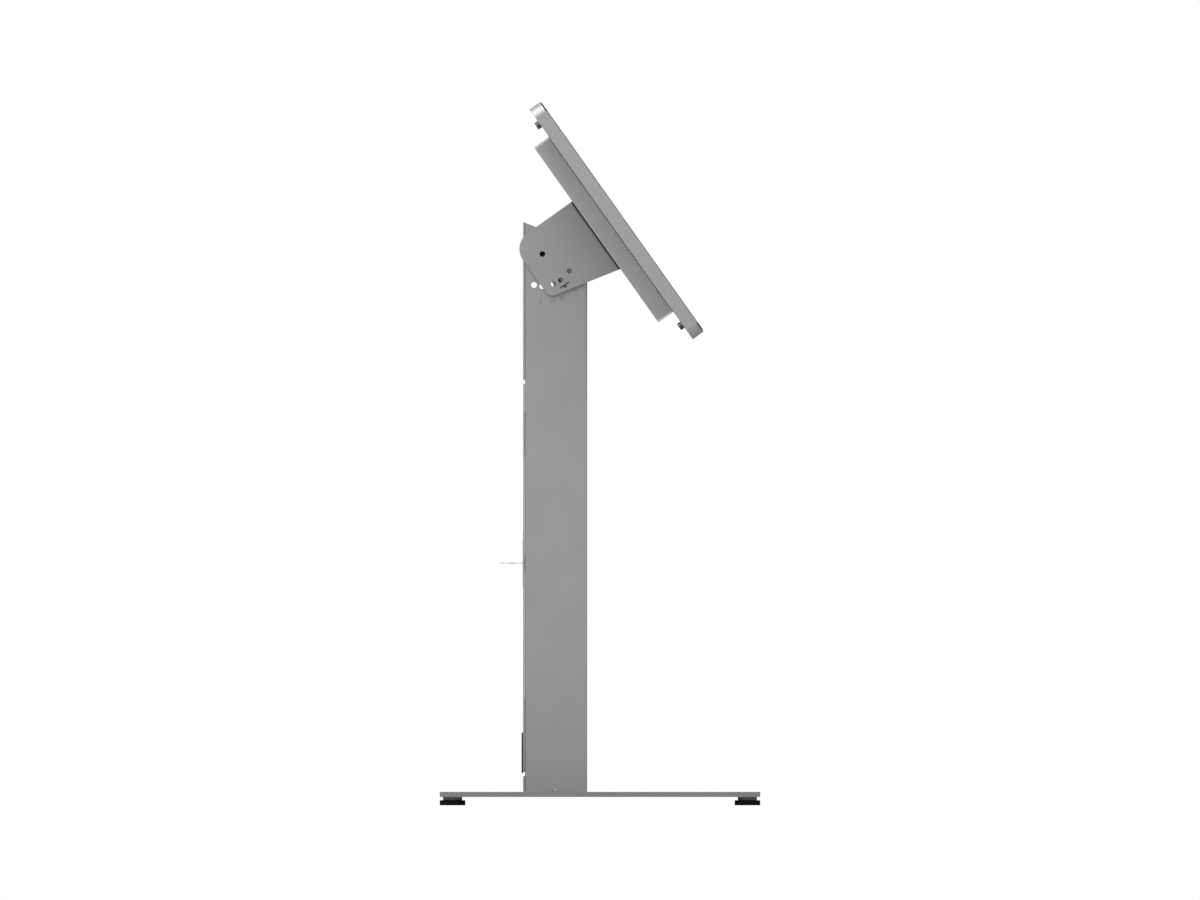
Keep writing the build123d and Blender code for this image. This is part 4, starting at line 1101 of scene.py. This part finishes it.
class KIOSK_OT_electronics(Operator):
    """Boards, panel tray and supply inside the rear box"""
    bl_idname = "kiosk.electronics"
    bl_label = "Electronics"

    easing = 0.3 * MM
    # Computer board
    board_thickness = 1.6 * MM
    hole_radius = 1.6 * MM
    hole_inset = 7 * MM
    fins = 9
    fin_spacing = 7.75 * MM
    ports = 5
    port_spacing = 28 * MM
    # Chips, in millimetres: the place from the middle of the board, the width and the depth, then one height.
    chips = ((-62, 50, 18, 18), (-60, 12, 12, 12), (58, 40, 22, 14), (60, 5, 10, 10), (-40, -45, 9, 7),
             (45, -42, 14, 14))
    chip_height = 1.6
    cans = 7
    can_spacing = 9 * MM
    # Supply
    vent_columns = (0.25, 0.5, 0.75)
    vent_rows = 8
    vent_spacing = 17 * MM

    def execute(self, context):
        turn = head_axes()
        eased_copy("board_standoffs", self.easing)
        eased_copy("panel_rails", self.easing)
        self.board(turn)
        self.supply(turn)
        self.panel(turn)
        return {"FINISHED"}

    def place(self, piece, turn, name, slot, replaced):
        """Turns a piece from the axes of the screen into the kiosk's and finishes it."""
        piece.data.transform(turn.to_4x4())
        piece.name = name
        finish_piece(piece, "head", slot, [replaced])

    def board(self, turn):
        """The computer board with its heat sink, ports, chips and capacitors."""
        (low, high), = solids("main_board", turn)
        face = low.z + self.board_thickness
        middle = (low + high) / 2
        sheet = add_block(low, (high.x, high.y, face), self.easing, 1)
        for x in (low.x + self.hole_inset, high.x - self.hole_inset):
            for y in (low.y + self.hole_inset, high.y - self.hole_inset):
                hole = turned([(self.hole_radius, low.z - PAST), (self.hole_radius, face + PAST)], 24)
                sheet = cut_out(sheet, moved(hole, x, y, 0))
        self.place(sheet, turn, "computer_board", "board_green", "main_board")
        near, far = middle.y - 17 * MM, middle.y + 47 * MM
        sink = [add_block((middle.x - 32 * MM, near, face), (middle.x + 32 * MM, far, face + 3 * MM),
                          0.4 * MM)]
        for number in range(self.fins):
            x = middle.x + (number - self.fins // 2) * self.fin_spacing
            sink.append(add_block((x - 1 * MM, near, face + 2.5 * MM), (x + 1 * MM, far, high.z), 0.35 * MM))
        self.place(joined(sink), turn, "extruded_heat_sink", "end_aluminium", "main_board")
        ports = []
        for number in range(self.ports):
            x = middle.x + (number - self.ports // 2) * self.port_spacing
            shell = add_block((x - 8 * MM, low.y, face), (x + 8 * MM, low.y + 15 * MM, face + 7 * MM),
                              0.4 * MM)
            mouth = add_block((x - 6.8 * MM, low.y - 2 * MM, face + 1.2 * MM),
                              (x + 6.8 * MM, low.y + 12 * MM, face + 5.8 * MM), self.easing)
            ports.append(cut_out(shell, mouth))
        self.place(joined(ports), turn, "socket_shells", "plated_steel", "main_board")
        parts = []
        for x, y, width, depth in self.chips:
            spot = Vector((middle.x + x * MM, middle.y + y * MM, face))
            parts.append(add_block(spot, spot + Vector((width, depth, self.chip_height)) * MM, 0.25 * MM, 1))
        for number in range(self.cans):
            can = turned([(3.0 * MM, face), (3.0 * MM, face + 7.2 * MM), (2.7 * MM, face + 7.6 * MM),
                          (1.6 * MM, face + 7.6 * MM), (1.5 * MM, face + 7.3 * MM)], 20)
            x = middle.x + (number - self.cans // 2) * self.can_spacing
            parts.append(moved(can, x, middle.y - 35 * MM, 0))
        self.place(joined(parts), turn, "chips_and_capacitors", "black_plastic", "main_board")

    def supply(self, turn):
        """The screen's power unit in a slotted case with eased folds."""
        (low, high), = solids("power_board", turn)
        case = add_block(low, high, 1.2 * MM)
        vents = []
        for column in self.vent_columns:
            for row in range(self.vent_rows):
                x = low.x + (high.x - low.x) * column
                y = low.y + 30 * MM + row * self.vent_spacing
                vents.append(add_block((x - 9 * MM, y - 1.6 * MM, high.z - PAST),
                                       (x + 9 * MM, y + 1.6 * MM, high.z + PAST), 0.5 * MM, 1))
        self.place(cut_out(case, joined(vents)), turn, "slotted_supply_case", "supply_case", "power_board")

    def panel(self, turn):
        """The display panel's tray, its back pressed in with a stiffening field."""
        (low, high), = solids("lcd_panel", turn)
        tray = add_block(low, high, 0.6 * MM)
        select_faces(tray, lambda spot, normal: normal.z < -SAME_WAY)
        for width, depth in ((28, 0.0), (2, -1.5), (40, 0.0), (2, 1.0)):
            bpy.ops.mesh.inset(thickness=width * MM, depth=depth * MM)
        bpy.ops.object.mode_set(mode="OBJECT")
        self.place(tray, turn, "pressed_panel_tray", "panel_module", "lcd_panel")


class KIOSK_OT_scale(Operator):
    """Angle numbers on the column and the paint in the bracket's pointer"""
    bl_idname = "kiosk.scale"
    bl_label = "Angle scale"

    # Each number stands a little to the rear of its own hole, so that the bracket leaves it free.
    numbers = ((0, -3.0), (15, 12.5), (30, 24.0), (45, 42.5))
    ink_thickness = 0.06 * MM
    line_start = 61.0 * MM
    line_offset = 0.8 * MM
    pointer_reach = (53 * MM, 66 * MM)
    pointer_depth = (0.05 * MM, 0.5 * MM)

    def execute(self, context):
        settings = context.scene.kiosk_scale
        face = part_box("column")[1].x
        pivot = pivot_point()
        for side, word in zip(SIDES, ("left", "right")):
            marks = [self.add_line(settings, side, face, pivot)]
            for number, degrees in self.numbers:
                angle = math.radians(degrees)
                place = side_place(side, face, pivot.y - settings.radius * math.sin(angle),
                                   pivot.z - settings.radius * math.cos(angle))
                marks.append(self.add_text(str(number), settings.height, place))
            piece = joined(marks)
            piece.name = "angle_numbers_" + word
            piece.data.materials.clear()
            piece.data.materials.append(printed_ink())
            finish_piece(piece, "stand", "column_steel")
        self.paint_pointer(bpy.data.objects["head_bracket_fine"])
        return {"FINISHED"}

    def paint_pointer(self, bracket):
        """Paint on the floor of the pointer that is sunk in each cheek."""
        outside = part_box("head_bracket")[1].x
        shallow, deep = self.pointer_depth
        bracket.data.materials.append(filled_paint())
        for face in bracket.data.polygons:
            if shallow < outside - abs(face.center.x) < deep and self.near_pointer(face.center):
                face.material_index = 1

    def near_pointer(self, spot):
        """Whether a face of a cheek is part of the pointer and not of the cheek's rim or a hole."""
        near, far = self.pointer_reach
        away = (spot.yz - pivot_point().yz).length
        return near < away < far and spot.z < pivot_point().z

    def add_line(self, settings, side, face, pivot):
        """The thin upright line under the pivot, down to the first number."""
        rest()
        bpy.ops.mesh.primitive_plane_add(size=1)
        line = bpy.context.object
        edit_all(line)
        bpy.ops.transform.resize(value=(settings.line, settings.radius - self.line_start, 1))
        bpy.ops.mesh.extrude_region_move(TRANSFORM_OT_translate={"value": (0, 0, self.ink_thickness)})
        bpy.ops.object.mode_set(mode="OBJECT")
        down = (settings.radius + self.line_start) / 2
        line.data.transform(side_place(side, face, pivot.y + self.line_offset, pivot.z - down))
        return line

    def add_text(self, words, height, place):
        rest()
        bpy.ops.object.text_add()
        text = bpy.context.object
        text.data.body = words
        text.data.size = height
        text.data.extrude = self.ink_thickness
        text.data.align_x = "CENTER"
        text.data.align_y = "CENTER"
        make_active(text)
        bpy.ops.object.convert(target="MESH")
        mesh = bpy.context.object
        mesh.data.transform(place)
        return mesh


class KIOSK_OT_screen(Operator):
    """Touch glass with its black border over the dark display"""
    bl_idname = "kiosk.screen"
    bl_label = "Screen"

    def execute(self, context):
        settings = context.scene.kiosk_screen
        glass = merged_copy("cover_glass")
        ease_edges(glass, settings.glass_edge, 2)
        turn = head_axes()
        (low, high), = solids("cover_glass", turn)
        middle = (low + high) / 2
        half = Vector((settings.width / 2, settings.height / 2))

        def on_front(spot, normal):
            return normal.dot(turn.col[2]) > SAME_WAY and turn.col[2].dot(spot) > high.z - SAME_LEVEL

        for axis in (0, 1):
            for side in SIDES:
                cut = middle.copy()
                cut[axis] += side * half[axis]
                select_faces(glass, on_front)
                bpy.ops.mesh.bisect(plane_co=turn @ cut, plane_no=turn.col[axis])
        bpy.ops.object.mode_set(mode="OBJECT")
        finish_piece(glass, "head", SLOT_OF["cover_glass"], ["cover_glass"], angle=EASED_ANGLE)
        glass.data.materials.append(dark_display())
        glass.data.materials.append(ground_edge())
        for face in glass.data.polygons:
            if abs(face.normal.dot(turn.col[2])) < 0.9:
                face.material_index = 2
            spot = turn.transposed() @ face.center - middle
            shown = abs(spot.x) < half.x and abs(spot.y) < half.y
            if shown and on_front(face.center, face.normal):
                face.material_index = 1
        return {"FINISHED"}


OPERATORS = [
    KIOSK_OT_stage,
    KIOSK_OT_finishes,
    KIOSK_OT_sheets,
    KIOSK_OT_thumbscrews,
    KIOSK_OT_feet,
    KIOSK_OT_fasteners,
    KIOSK_OT_plungers,
    KIOSK_OT_service,
    KIOSK_OT_electronics,
    KIOSK_OT_scale,
    KIOSK_OT_screen,
]


class KIOSK_PT_parts(Panel):
    """Lists the kiosk's pieces in the order in which they are made"""
    bl_idname = "KIOSK_PT_parts"
    bl_label = "Screen kiosk stand"
    bl_space_type = "VIEW_3D"
    bl_region_type = "UI"
    bl_category = "Kiosk"

    def draw(self, context):
        for operator in OPERATORS:
            self.layout.operator(operator.bl_idname)


PROPERTY_GROUPS = {
    "kiosk_stage": KIOSK_PG_stage,
    "kiosk_sheet": KIOSK_PG_sheet,
    "kiosk_thumbscrew": KIOSK_PG_thumbscrew,
    "kiosk_feet": KIOSK_PG_feet,
    "kiosk_fasteners": KIOSK_PG_fasteners,
    "kiosk_plungers": KIOSK_PG_plungers,
    "kiosk_service": KIOSK_PG_service,
    "kiosk_scale": KIOSK_PG_scale,
    "kiosk_screen": KIOSK_PG_screen,
}


def register():
    for name, group in PROPERTY_GROUPS.items():
        bpy.utils.register_class(group)
        setattr(bpy.types.Scene, name, PointerProperty(type=group))
    for operator in OPERATORS:
        bpy.utils.register_class(operator)
    bpy.utils.register_class(KIOSK_PT_parts)


def unregister():
    bpy.utils.unregister_class(KIOSK_PT_parts)
    for operator in reversed(OPERATORS):
        bpy.utils.unregister_class(operator)
    for name, group in PROPERTY_GROUPS.items():
        delattr(bpy.types.Scene, name)
        bpy.utils.unregister_class(group)


def main():
    register()
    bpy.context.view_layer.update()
    for operator in OPERATORS:
        area, name = operator.bl_idname.split(".")
        getattr(getattr(bpy.ops, area), name)()
    rest()


if __name__ == "__main__":
    main()
